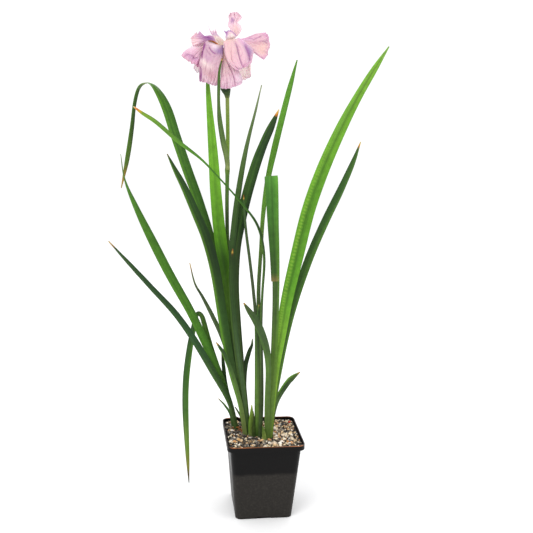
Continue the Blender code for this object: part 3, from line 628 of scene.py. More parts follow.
# Leaf skin is a living cuticle with a thin coat of wax: satin, lined with veins, and drying to a
# dull straw and then to brown at the tip.
def leaf_material(name, ripple, gloss, pucker_highlight=0.0):
    """Ripple is the height of its cross waves, gloss its roughness, and pucker_highlight how strong the
    painted highlights are on the small puckers that cross the blade on one side of its midrib."""
    made, tree, shader = new_material(name)
    uv = add_node(tree, "TexCoord").outputs["UV"]
    spot = add_node(tree, "TexCoord").outputs["Object"]
    tone = add_node(tree, "Attribute", attribute_name="leaf_colour")
    dry = add_node(tree, "Attribute", attribute_name="dryness")
    # Veins stand about 0.4 mm apart on the real blade and are drawn at 0.8 mm
    vein_map = add_node(tree, "Mapping", {0: uv, "Scale": (1, 9, 1)})
    veins = add_node(tree, "TexWave", {"Vector": vein_map.outputs[0], "Scale": 4.2, "Distortion": 0.5,
                                       "Detail": 1, "Detail Scale": 2},
                     bands_direction="X", wave_profile="SIN")
    streak_map = add_node(tree, "Mapping", {0: uv, "Scale": (26, 5, 1)})
    streaks = add_node(tree, "TexNoise", {"Vector": streak_map.outputs[0], "Scale": 1, "Detail": 4,
                                          "Roughness": 0.6})
    mottle = add_node(tree, "TexNoise", {"Vector": spot, "Scale": 160, "Detail": 5, "Roughness": 0.6})
    vein_dark = add_node(tree, "MapRange", {0: veins.outputs["Fac"], 1: 0, 2: 1, 3: 0.78, 4: 1.1})
    streak_dark = add_node(tree, "MapRange", {0: streaks.outputs["Fac"], 1: 0.3, 2: 0.7, 3: 0.78, 4: 1.22})
    mottle_dark = add_node(tree, "MapRange", {0: mottle.outputs["Fac"], 1: 0.3, 2: 0.7, 3: 0.86, 4: 1.14})
    green = tone.outputs["Color"]
    for shade in (vein_dark, streak_dark, mottle_dark):
        shaded = add_node(tree, "Mix", {0: 1.0, 6: green, 7: shade.outputs[0]},
                          data_type="RGBA", blend_type="MULTIPLY")
        green = shaded.outputs[2]
    if pucker_highlight:
        # Puckers stand 3.4 mm apart, lie left of the midrib and fade well before the tip.  The lighter
        # colour on them is a painted highlight.
        split = add_node(tree, "SeparateXYZ", {0: uv})
        pucker_map = add_node(tree, "Mapping", {0: uv, "Scale": (1, 46, 1)})
        puckers = add_node(tree, "TexWave", {"Vector": pucker_map.outputs[0], "Scale": 1, "Distortion": 4,
                                             "Detail": 2, "Detail Scale": 0.9},
                           bands_direction="Y", wave_profile="SIN")
        place = add_node(tree, "MapRange", {0: split.outputs["X"], 1: 0.06, 2: 0.22, 3: 0, 4: pucker_highlight},
                         interpolation_type="SMOOTHSTEP")
        for axis, full, gone in (("X", 0.26, 0.44), ("Y", 0.5, 0.72)):
            fade = add_node(tree, "MapRange", {0: split.outputs[axis], 1: full, 2: gone, 3: 1, 4: 0})
            place = add_node(tree, "Math", {0: place.outputs[0], 1: fade.outputs[0]}, operation="MULTIPLY")
        light = add_node(tree, "Math", {0: place.outputs[0], 1: puckers.outputs["Fac"]},
                         operation="MULTIPLY")
        pucker_highlit = add_node(tree, "Mix", {0: light.outputs[0], 6: green, 7: srgb("#c0ea60")},
                             data_type="RGBA")
        green = pucker_highlit.outputs[2]
    frayed = add_node(tree, "Math", {0: streaks.outputs["Fac"], 1: 0.5, 2: dry.outputs["Fac"]},
                      operation="MULTIPLY_ADD")
    straw = add_node(tree, "MapRange", {0: frayed.outputs[0], 1: 0.3, 2: 0.62, 3: 0, 4: 1},
                     interpolation_type="SMOOTHSTEP")
    brown = add_node(tree, "MapRange", {0: frayed.outputs[0], 1: 0.7, 2: 1.05, 3: 0, 4: 1},
                     interpolation_type="SMOOTHSTEP")
    turning = add_node(tree, "Mix", {0: straw.outputs[0], 6: green, 7: srgb("#c7a24c")},
                       data_type="RGBA")
    dried = add_node(tree, "Mix", {0: brown.outputs[0], 6: turning.outputs[2], 7: srgb("#8a5a34")},
                     data_type="RGBA")
    deepened = add_node(tree, "Mix", {0: 1.0, 6: dried.outputs[2], 7: (0.7, 0.7, 0.62, 1)},
                        data_type="RGBA", blend_type="MULTIPLY")
    tree.links.new(deepened.outputs[2], shader.inputs["Base Color"])
    rough = add_node(tree, "MapRange", {0: streaks.outputs["Fac"], 1: 0.3, 2: 0.7, 3: gloss - 0.06,
                                        4: gloss + 0.08})
    rougher = add_node(tree, "Math", {0: straw.outputs[0], 1: 0.3, 2: rough.outputs[0]},
                       operation="MULTIPLY_ADD")
    tree.links.new(rougher.outputs[0], shader.inputs["Roughness"])
    shader.inputs["IOR"].default_value = 1.42
    shader.inputs["Specular IOR Level"].default_value = 0.2
    vein_bump = add_node(tree, "Bump", {"Strength": 0.5, "Distance": 0.00012,
                                        "Height": veins.outputs["Fac"]})
    ripple_map = add_node(tree, "Mapping", {0: uv, "Scale": (1.4, 60, 1)})
    ripples = add_node(tree, "TexNoise", {"Vector": ripple_map.outputs[0], "Scale": 1, "Detail": 2})
    ripple_bump = add_node(tree, "Bump", {"Strength": 0.6, "Distance": ripple,
                                          "Height": ripples.outputs["Fac"], "Normal": vein_bump.outputs[0]})
    tree.links.new(ripple_bump.outputs[0], shader.inputs["Normal"])
    return made


leaf_skin = leaf_material("waxy_iris_leaf", 0.0003, 0.42)
bright_skin = leaf_material("young_glossy_iris_leaf", 0.0009, 0.36)
pucker_highlit_skin = leaf_material("iris_leaf_with_painted_pucker_highlights", 0.0009, 0.36, pucker_highlight=0.32)

# Left fan: a long leaf and a low leaf that lean out to the left, a leaf that folds over and hangs
# past the pot, a short leaf behind them and a small brown-tipped shoot.
grow_leaf("leaf_left_long", (-29, 19, 4.5), [
    (-38, 20, 124, 5.6), (-52.5, 21, 164, 9), (-71, 24, 206, 9.6), (-86, 26, 238, 10),
    (-110, 31, 281, 10.5), (-130, 36, 320, 10), (-149, 42, 359, 6.6), (-162, 47, 391, 2),
    (-166.5, 50, 420, 0.8)],
    [(0, "#5f7a40"), (0.18, "#4e7a2a"), (0.3, "#569030"), (0.45, "#4e8428"), (0.7, "#4a7e28"),
     (0.86, "#4e8230"), (0.95, "#6c8c48"), (1, "#a8b89a")],
    twist=(26, 0.3, 1.0), edge_light_and_shade=(0.15, -0.2), rib_light_and_shade=0.08, dry=(1.1, 1.3))
grow_leaf("leaf_left_low", (-29, 17.5, 3.6), [
    (-38.5, 17, 126, 6), (-59.5, 15, 167, 8), (-81, 10, 206, 8), (-103, 4, 240, 7.5),
    (-131, -5, 274, 6.5), (-155, -13, 303, 5), (-176, -22, 329, 1.2)],
    [(0, "#546b3c"), (0.2, "#3c5c2c"), (0.45, "#2f5430"), (0.7, "#284a28"), (0.95, "#34542c"),
     (0.975, "#b08040"), (1, "#d8b080")],
    twist=(-24, 0.3, 1.0), edge_light_and_shade=(0.1, -0.2), dry=(0.97, 1.03))
grow_leaf("leaf_left_folded", (-28, 21.2, 5), [
    (-36, 22.5, 121, 5), (-47, 25.5, 152, 5.5), (-61, 31, 192, 6), (-69.5, 36, 222, 6),
    (-72, 37, 229, 5.6), (-75.5, 38, 232, 5.4), (-79, 39, 228, 6), (-81.5, 40, 214, 7),
    (-86, 41, 188, 8.5), (-90, 42, 152, 9), (-91, 42, 118, 9), (-90, 44, 84, 8), (-88, 45, 45, 5.5),
    (-86, 46, 9, 1.2)],
    [(0, "#64804a"), (0.2, "#4e7a28"), (0.38, "#54743c"), (0.5, "#305424"), (0.65, "#325c22"),
     (0.8, "#3e6828"), (0.9, "#6c8e3a"), (0.955, "#8c8a3c"), (0.975, "#5a3c20"), (1, "#2c1810")],
    edge_light_and_shade=(0.12, -0.15), rib_light_and_shade=0.1, dry=(1.1, 1.3))
grow_leaf("leaf_left_short", (-27, 23.2, 4), [
    (-37, 25.5, 123, 4), (-43, 28, 148, 4.5), (-45.5, 30, 168, 4.5), (-47.5, 32, 189, 1.5)],
    [(0, "#5f7a4a"), (0.4, "#3c5c2c"), (0.8, "#28421e"), (1, "#4a4a2c")], dry=(0.95, 1.1))
grow_leaf("shoot_left", (-33, 24.3, 2.6), [
    (-36, 27, 106, 3), (-43, 31, 117, 2.4), (-51, 34, 125, 0.9)],
    [(0, "#4c6a3a"), (0.5, "#4f7440"), (0.8, "#587040"), (1, "#6e5a34")], edge_light_and_shade=(0, 0.5), dry=(0.93, 1.1))

# Middle fan: the arching leaf that bends over and hangs, the dark leaf in front of it, the broad
# leaf that runs up behind the flower, and thin, wide and short leaves between them.
# Its greens carry a painted sheen where it bends over and painted shade on its hanging end
grow_leaf("leaf_arching", (-17, 15.6, 6), [
    (-22, 17, 122, 7), (-34, 20, 178, 9), (-46, 25, 239, 11), (-61, 33, 316, 11), (-75, 39, 363, 11),
    (-89, 44, 401, 11.5), (-103, 50, 441, 11.5), (-114, 55, 474, 12), (-126, 58, 495, 10.5),
    (-136, 60, 501, 8), (-145, 62, 496, 6), (-150.5, 64, 478, 5.6), (-154, 69, 451, 6.5),
    (-160, 74, 414, 7), (-168, 80, 378, 1.2)],
    [(0, "#627e43"), (0.08, "#354723"), (0.16, "#2c4420"), (0.26, "#3b5928"), (0.35, "#3c6724"),
     (0.45, "#42702a"), (0.52, "#487a2c"), (0.6, "#4a7c2a"), (0.645, "#5c8c34"), (0.68, "#9aac74"),
     (0.72, "#64804a"), (0.76, "#40622c"), (0.86, "#34521c"), (0.94, "#54742c"), (1, "#e89c48")],
    twist=(108, 0.42, 0.8), edge_light_and_shade=(0.3, -0.1), rib_light_and_shade=0.1, dry=(0.965, 1.03))
grow_leaf("leaf_middle_dark", (-19, 3.8, 6), [
    (-26, 3.9, 128, 7), (-38, 3.2, 175, 9.5), (-48, 1, 228, 11), (-58, -4, 288, 11.5),
    (-69, -11, 329, 11), (-82, -16, 360, 9.5), (-95, -22, 389, 7.5), (-105, -26, 408, 5),
    (-113, -30, 424, 1.2)],
    [(0, "#66824a"), (0.14, "#567440"), (0.3, "#345a20"), (0.5, "#1e3816"), (0.75, "#284a1e"),
     (0.95, "#305222"), (1, "#6c5c44")],
    twist=(24, 0.4, 1.0), edge_light_and_shade=(0.35, -0.1), dry=(0.98, 1.1))
grow_leaf("leaf_behind_flower", (-17, 7, 6), [
    (-23, 7, 126, 7), (-32, 7.5, 176, 10), (-41, 8.5, 243, 12), (-47, 9.5, 293, 13.5), (-53, 11, 331, 14),
    (-58, 13, 377, 13), (-62, 15.5, 428, 10.5), (-66, 18, 472, 7), (-68, 20, 498, 4.5),
    (-68, 20.5, 510, 1.8)],
    [(0, "#627e43"), (0.1, "#354b25"), (0.22, "#3a572b"), (0.33, "#5b882a"), (0.42, "#42701f"),
     (0.52, "#66a42a"), (0.65, "#74b434"), (0.82, "#78b838"), (1, "#568631")],
    twist=(-14, 0.4, 1.0), edge_light_and_shade=(0.1, 0.3), rib_light_and_shade=-0.15, dry=(1.1, 1.2),
    skin=bright_skin)
grow_leaf("leaf_middle_thin", (-17, 0.7, 5), [
    (-22, 0.6, 135, 6), (-30, -0.3, 197, 7), (-36, -2, 258, 7.5), (-40, -4, 311, 7.5),
    (-38, -5.5, 349, 7), (-34, -7, 385, 6.5), (-30, -9, 413, 6), (-25, -11, 440, 4.5), (-18, -14, 471, 3),
    (-12, -16, 499, 1.2)],
    [(0, "#566f34"), (0.2, "#4a6630"), (0.4, "#345026"), (0.6, "#42602c"), (0.85, "#627c4a"),
     (0.95, "#8a9c74"), (1, "#b4bc9c")],
    twist=(28, 0.4, 1.0), edge_light_and_shade=(0.05, -0.3), dry=(1.1, 1.3))
grow_leaf("leaf_middle_wide", (-16, 2.3, 6), [
    (-21, 2.3, 128, 7.2), (-28, 1.8, 178, 10), (-34, 1.3, 233, 11.6), (-37, 1, 275, 12),
    (-36, 0, 316, 12), (-31, -1, 348, 12), (-24, -2, 380, 11.5), (-15, -3, 413, 11), (-7, -4, 436, 9.6),
    (1, -5, 455, 8), (9, -6, 474, 1.2)],
    [(0, "#526c34"), (0.1, "#2f4a20"), (0.2, "#465935"), (0.32, "#48692a"), (0.45, "#384f25"),
     (0.55, "#213f18"), (0.68, "#335424"), (0.82, "#264420"), (0.962, "#2c4822"), (0.972, "#e08030"),
     (0.985, "#ffc858"), (1, "#ffe8b8")],
    twist=(-22, 0.5, 1.0), edge_light_and_shade=(0.12, -0.45), rib_light_and_shade=0.05, dry=(0.99, 1.2))
grow_leaf("leaf_middle_narrow", (-17, -1, 4), [
    (-24, -2, 149, 4.8), (-33, -4, 211, 5.2), (-39, -7, 265, 5.2), (-41, -9, 297, 4.3),
    (-40, -10, 319, 1.2)],
    [(0, "#50683a"), (0.3, "#44603a"), (0.6, "#2e4a22"), (0.9, "#28401e"), (1, "#7a4a30")], dry=(0.94, 1.0))
grow_leaf("leaf_middle_hooked", (-15, 5.4, 5), [
    (-20, 5.4, 127, 5.5), (-22.5, 4.5, 152, 5.6), (-21.5, 4, 176, 5.6), (-17.5, 4, 193, 5),
    (-14.5, 3, 202, 3.2), (-14, 3, 210, 1)],
    [(0, "#4c662e"), (0.4, "#38522e"), (0.6, "#1e3418"), (0.8, "#26401e"), (0.92, "#567040"),
     (1, "#7c8c50")],
    dry=(0.97, 1.1))
grow_leaf("leaf_middle_spike", (-18, 14, 4), [
    (-27, 16, 136, 5), (-38, 18, 177, 5.4), (-49, 20, 209, 5.4), (-61, 22, 235, 5), (-72, 24, 256, 3.5),
    (-81, 25, 272, 2.2), (-87, 27, 296, 1)],
    [(0, "#5f7d3a"), (0.3, "#4f6d3b"), (0.55, "#5a704a"), (0.75, "#44563a"), (0.9, "#687450"),
     (1, "#a2683c")],
    dry=(0.94, 1.05))
grow_leaf("leaf_middle_outer", (-20, -2.6, 5), [
    (-26, -3.2, 124, 5.5), (-34, -4, 156, 5.4), (-41, -5, 178, 5.2), (-48, -6, 195, 4.7),
    (-53, -7, 203, 3.4), (-57, -7, 209, 1.2)],
    [(0, "#7a8a50"), (0.3, "#5c7c3c"), (0.6, "#3c5c2e"), (0.85, "#284428"), (1, "#b8844c")],
    edge_light_and_shade=(0.3, 0), dry=(0.92, 1.0))

# Centre fan: a short broad leaf, a thin one with an orange tip, a tall one that widens towards
# its top, and the long thin leaf that bends over and crosses the whole plant to the left.
grow_leaf("leaf_centre_short", (-6, -7.2, 6), [
    (-6, -7.7, 113, 6.8), (-7, -8.3, 144, 7.2), (-8, -9, 188, 6.6), (-10, -9.7, 224, 5.6),
    (-9, -10, 254, 1.6)],
    [(0, "#3c5a24"), (0.2, "#5c7a36"), (0.45, "#5a783a"), (0.7, "#445c36"), (0.95, "#44663a"),
     (1, "#6a7840")],
    edge_light_and_shade=(0.2, -0.1), dry=(0.97, 1.1))
grow_leaf("leaf_centre_thin", (-7, -5.6, 5), [
    (-8, -5.7, 125, 5.4), (-9, -5.9, 174, 5), (-11, -6.6, 229, 4.2), (-15, -7.3, 267, 3.7),
    (-20, -8.4, 304, 3.4), (-25, -9.8, 337, 3), (-28, -11, 366, 2.2), (-29, -12, 380, 1)],
    [(0, "#4f6636"), (0.25, "#4c6a36"), (0.5, "#4c5c40"), (0.75, "#445a38"), (0.93, "#3e602e"),
     (1, "#c07a34")],
    dry=(0.94, 0.99))
grow_leaf("leaf_centre_tall", (-5, -4, 5), [
    (-5, -3.2, 124, 5.5), (-6, -1.5, 173, 5.4), (-7, 1, 227, 5), (-8, 3, 270, 4.6), (-6, 6, 315, 4.4),
    (-4, 9, 355, 5), (1, 13, 395, 6.2), (8, 16, 429, 7.4), (16, 19, 463, 7.2), (25, 23, 499, 6.2),
    (33, 26, 530, 1.4)],
    [(0, "#55703a"), (0.12, "#486131"), (0.24, "#425533"), (0.36, "#566c44"), (0.48, "#5f8039"),
     (0.6, "#6ca63c"), (0.74, "#609a30"), (0.87, "#60a02e"), (0.95, "#5c9a2c"), (1, "#6ca040")],
    twist=(-30, 0.4, 1.0), edge_light_and_shade=(0.2, -0.15), dry=(0.985, 1.2), skin=bright_skin)
grow_leaf("leaf_crossing", (-4, -9, 5), [
    (-3, -9.4, 132, 4.8), (-4, -11, 176, 4.2), (-6, -13, 225, 3.4), (-6, -16, 267, 2.9),
    (-5, -19, 306, 3), (-9, -22, 333, 3), (-16, -24, 351, 2.8), (-28, -26, 367, 2.3),
    (-43, -28, 384, 1.9), (-61, -32, 403, 1.7), (-78, -35, 420, 2.6), (-102, -39, 438, 4.1),
    (-124, -44, 456.6, 4.2), (-138, -46.5, 465.4, 3.4), (-147, -48, 471.8, 1)],
    [(0, "#506640"), (0.08, "#3e512d"), (0.2, "#4c6040"), (0.33, "#3e5c2c"), (0.45, "#2c4a20"),
     (0.54, "#38661f"), (0.65, "#447c28"), (0.75, "#5c9634"), (0.86, "#6e9e3c"), (0.93, "#8cb440"),
     (0.955, "#e8b830"), (0.972, "#e87028"), (0.987, "#ffb060"), (1, "#ffe8c0")],
    edge_light_and_shade=(0.25, -0.2), dry=(1.1, 1.3))

# Right fan: the tallest leaf with a darker one behind it, a leaf folded flat at its top so that
# its end hangs in front of it, an inner leaf and a small one low down.
grow_leaf("leaf_right_inner", (4, -14.5, 6), [
    (3, -16, 135, 6.6), (3, -18, 178, 6.8), (0, -20, 203, 8), (-7, -22, 225, 8.6), (-15, -23, 241, 8),
    (-22, -24, 251, 5.7), (-28, -25, 260, 1.4)],
    [(0, "#5e7a38"), (0.3, "#54743a"), (0.55, "#46603a"), (0.75, "#425c34"), (0.95, "#4c5c36"),
     (1, "#5c3a22")],
    edge_light_and_shade=(0.1, -0.1), dry=(0.96, 1.0))
grow_leaf("leaf_right_tall", (7, -11.3, 7), [
    (9, -11, 132, 8), (12, -10, 175, 10), (18, -8, 217, 12), (24, -7, 259, 14), (35, -4, 311, 15.5),
    (47, -1, 363, 15.5), (63, 2, 410, 15), (82, 5, 454, 13), (100, 8, 489, 10), (119, 11, 521, 7.4),
    (135.8, 14, 547.3, 1.3)],
    [(0, "#7c9840"), (0.12, "#8ab43c"), (0.25, "#82b83a"), (0.4, "#60a02a"), (0.55, "#5c9828"),
     (0.75, "#70aa34"), (0.93, "#80b63e"), (1, "#98c860")],
    twist=(-16, 0.3, 1.0), edge_light_and_shade=(0.45, 0.2), rib_light_and_shade=-0.38, dry=(0.99, 1.2),
    skin=pucker_highlit_skin)
grow_leaf("leaf_right_dark", (8, -9.7, 6), [
    (11, -8, 131, 7), (17, -4, 171, 8), (25, 0, 215, 9), (36, 6, 257, 9.8), (52, 13, 303, 10.5),
    (70, 20, 344, 10.5), (89, 28, 381, 10), (105, 35, 415, 7.2), (115, 40, 440, 1.2)],
    [(0, "#70883f"), (0.12, "#5d7c35"), (0.28, "#42662a"), (0.5, "#3a6026"), (0.75, "#386228"),
     (0.96, "#446c2c"), (0.975, "#e09028"), (0.988, "#ffd860"), (1, "#fff0c8")],
    twist=(26, 0.3, 1.0), edge_light_and_shade=(-0.15, 0.2), dry=(0.985, 1.2))
grow_leaf("leaf_right_folded", (5, -12.9, 6), [
    (8, -13, 133, 7), (9.5, -13.2, 176, 7.8), (10, -13.6, 219, 7.8), (10, -14, 266, 8),
    (8, -14.3, 318, 9.2), (4, -14.5, 364, 12), (1.3, -14.5, 392, 14), (0.9, -14.6, 398, 14.2),
    (0.6, -16, 401, 14.3), (0.5, -18, 401.6, 14.4), (0.5, -20, 400.6, 14.3), (0.8, -21, 396.5, 14.3),
    (2, -21.6, 376, 13.8), (4, -22, 342, 12.3), (6, -22.4, 314, 10.7), (7.3, -22.8, 284, 8.8)],
    [(0, "#6c8a42"), (0.08, "#668836"), (0.16, "#597c2e"), (0.24, "#4b6835"), (0.34, "#527c32"),
     (0.44, "#679642"), (0.74, "#5c9e3e"), (0.82, "#4a8432"), (0.9, "#3f6c28"), (0.98, "#3c5c28"),
     (1, "#8a7c4c")],
    edge_light_and_shade=(-0.15, 0.2), rib_light_and_shade=-0.3, fold=0.0, dry=(1.1, 1.3))
grow_leaf("leaf_right_small", (9, -8, 4), [
    (12, -4, 117, 5.2), (17, -2, 136, 6.2), (28, 0.5, 154, 7), (35.5, 2, 161.5, 6), (44.5, 4, 167.5, 1)],
    [(0, "#7c8a52"), (0.3, "#62814a"), (0.55, "#38542c"), (0.88, "#46602e"), (1, "#b08a44")],
    edge_light_and_shade=(0.55, -0.1), dry=(0.94, 1.0))

# Shoots at the foot of the fans are new blades, pale or dark green and only just out of the grit.
# The tallest stands 4 cm over it.
grow_leaf("shoot_back", (-21, 17.4, 2.4), [
    (-23, 20, 103, 2.7), (-28, 26, 112, 2), (-31, 28, 116, 0.9)],
    [(0, "#4c6a3a"), (0.5, "#5a7a40"), (1, "#5c6a48")], edge_light_and_shade=(0, 0.4), dry=(0.95, 1.2))
grow_leaf("shoot_middle", (-13.6, -5, 6.4), [
    (-14, -5, 106, 7), (-14, -4.8, 119, 4.6), (-14, -4.8, 131, 1)],
    [(0, "#7c8c54"), (0.35, "#6c8638"), (0.8, "#84a040"), (1, "#c8d060")],
    edge_light_and_shade=(0.3, 0), dry=(0.97, 1.3))
grow_leaf("shoot_dark", (-11.2, -7.8, 3.2), [
    (-11.6, -7.8, 104, 3.2), (-11.5, -8, 115, 2), (-12.5, -8, 124, 0.9)],
    [(0, "#4a5a30"), (0.5, "#3d4f23"), (1, "#5b6834")], dry=(0.97, 1.3))
grow_leaf("shoot_pale", (0, -17, 5.4), [
    (0, -17, 96, 5), (-1, -18, 103, 3.4), (-2, -18, 109, 1)],
    [(0, "#8a9a58"), (0.4, "#8aa252"), (0.8, "#6c8a3e"), (1, "#6a8a34")],
    fold=0.1, dry=(0.97, 1.3))

# The flower stem is a smooth round stalk, about 4.5 mm thick and faintly ribbed, with one joint.
# It grows paler towards the flower.


def stalk_piece(name, stations, tones, sides=20, per_span=8, ribs=0.0, rib_count=7):
    """A round stalk along stations of x, y, z and radius: a grid rolled up, its seam and ends closed.

    Ribs is how far they stand out, as a share of the radius.
    """
    rows = per_span * (len(stations) - 1)
    stalk = grid_piece(name, sides, rows)
    frames = frames_along(stations, rows, Vector((0, 1, 0)))
    colours = []
    for vertex in stalk.data.vertices:
        u, v = (vertex.co.x + 1) / 2, (vertex.co.y + 1) / 2
        spot, radius, way, across = frames[round(v * rows)]
        angle = -2 * math.pi * u
        swell = radius * (1 + ribs * math.cos(rib_count * angle))
        vertex.co = (spot + (across * math.cos(angle) + way.cross(across) * math.sin(angle)) * swell) * MM
        streak = 0.16 * noise.noise(Vector((math.cos(angle) * 2, math.sin(angle) * 2, v * 9)))
        colours.append(tuple(along_stops(tones, v).lerp(BRIGHT if streak > 0 else DEEP, abs(streak))))
    paint(stalk, "leaf_colour", colours)
    paint(stalk, "dryness", [0.0] * len(colours))
    bpy.ops.object.mode_set(mode="EDIT")
    bpy.ops.mesh.select_all(action="SELECT")
    bpy.ops.mesh.remove_doubles(threshold=0.00001)
    bpy.ops.mesh.select_all(action="DESELECT")
    bpy.ops.mesh.select_non_manifold()
    bpy.ops.mesh.edge_face_add()
    bpy.ops.mesh.select_all(action="SELECT")
    bpy.ops.mesh.normals_make_consistent(inside=False)
    bpy.ops.object.mode_set(mode="OBJECT")
    bpy.ops.object.shade_smooth_by_angle(angle=math.radians(60))
    return stalk


stem = stalk_piece("flower_stalk", [
    (-15.6, 10.5, 86.5, 2.4), (-26, 12.3, 156, 2.4), (-35, 14, 230, 2.3), (-42, 15.5, 290, 2.3),
    (-44, 16.3, 328, 2.2), (-45, 17, 367, 2.2), (-45, 17.8, 396, 2.3), (-45, 18, 405, 2.9),
    (-45, 18.3, 414, 2.3), (-45, 19, 444, 2.2), (-46, 20, 486, 2.2)],
    [(0, "#4a6434"), (0.2, "#3a5428"), (0.4, "#4c6a30"), (0.46, "#40582a"), (0.52, "#527436"),
     (0.6, "#5e863c"), (0.68, "#749644"), (0.8, "#80a046"), (0.93, "#80a042"), (1, "#9aac62")],
    ribs=0.025)
stem.data.materials.append(leaf_skin)
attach(stem, "root")
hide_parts("flower_stem")

# A few dry root fibres, rust brown and at most a millimetre thick, lie curled over the grit at
# the foot of the fans.
FIBRE_TONES = [(0, "#6e3f22"), (0.4, "#c07432"), (1, "#9a5a2c")]
for number, route in enumerate((
        [(-35, 20, 92.6, 0.3), (-30, 17, 94, 0.5), (-26, 15, 93.2, 0.45), (-24, 9, 94, 0.45),
         (-22.6, 3, 93.4, 0.4), (-18.5, -1.5, 92.4, 0.3)],
        [(-31, 21, 92.2, 0.3), (-28.6, 16.6, 94.4, 0.45), (-24, 17.4, 94.6, 0.4), (-21, 14.6, 92.2, 0.3)],
        [(-30.6, 10.6, 92.6, 0.3), (-26.6, 9, 93.8, 0.4), (-24.4, 4.4, 93.4, 0.4), (-25.4, 0, 92.4, 0.3)])):
    fibre = stalk_piece(f"root_fibre_{number + 1}", route, FIBRE_TONES, sides=6)
    fibre.data.materials.append(leaf_skin)
    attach(fibre, "root")

# The green cup flares out under the flower.  It is the top of the sheath that wrapped the bud, and
# three ribs run up it.
cup = stalk_piece("flower_sheath", [
    (-46, 20, 485.5, 2.5), (-46.3, 20, 489.5, 3.5), (-47, 20.4, 493, 4.9), (-48, 21, 497, 6)],
    [(0, "#7d8c50"), (0.3, "#4a6238"), (0.7, "#2a4226"), (1, "#35502c")],
    sides=36, per_span=10, ribs=0.05, rib_count=3)
cup.data.materials.append(leaf_skin)
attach(cup, "root")
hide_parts("flower_cup")

# The petals of the flower are thin, soft and crimped, and cream at the throat.  They turn pale
# lilac towards their frilled rims, with fine darker veins, and violet painted shade lies in the
# depths of their folds and creases.
THROAT = Vector((-53, 22, 548))
PETAL_THICKNESS = 0.35
RAIL_STEPS = 96
WRINKLE_HEIGHT = 2.2
SMALL_WRINKLE_HEIGHT = 0.9
CREASE_REACH = 4
LIP_START = 0.82
LIP_CURL = 30
PETAL_TONES = [(0, "#cdb87c"), (0.1, "#d3b8a4"), (0.3, "#d4b2b6"), (0.75, "#d4aeba"), (1, "#cb9bb5")]
DEEP_TONES = [(0, "#b9a476"), (0.1, "#bd9f98"), (0.3, "#bc9aa6"), (0.6, "#c4a2ac"), (0.85, "#c8a4ac"),
              (1, "#c096aa")]


def point_at(line, share):
    """The place at a share of a smooth line, carried on straight past its ends."""
    place = share * (len(line) - 1)
    low = min(max(int(place), 0), len(line) - 2)
    return line[low].lerp(line[low + 1], place - low)


def near_line(spot, line):
    """How far a flat place is from a line of places, and how far along the line it lies, 0 to 1."""
    best, at = 1e9, 0
    for number, (start, end) in enumerate(zip(line, line[1:])):
        way = end - start
        share = min(max((spot - start).dot(way) / way.length_squared, 0.0), 1.0)
        gap = (start + way * share - spot).length
        if gap < best:
            best, at = gap, (number + share) / (len(line) - 1)
    return best, at


def arch(left, middle, right, u):
    """The place at u, from -1 to 1, on the smooth arch through three places."""
    return left * u * (u - 1) / 2 + middle * (1 - u * u) + right * u * (u + 1) / 2


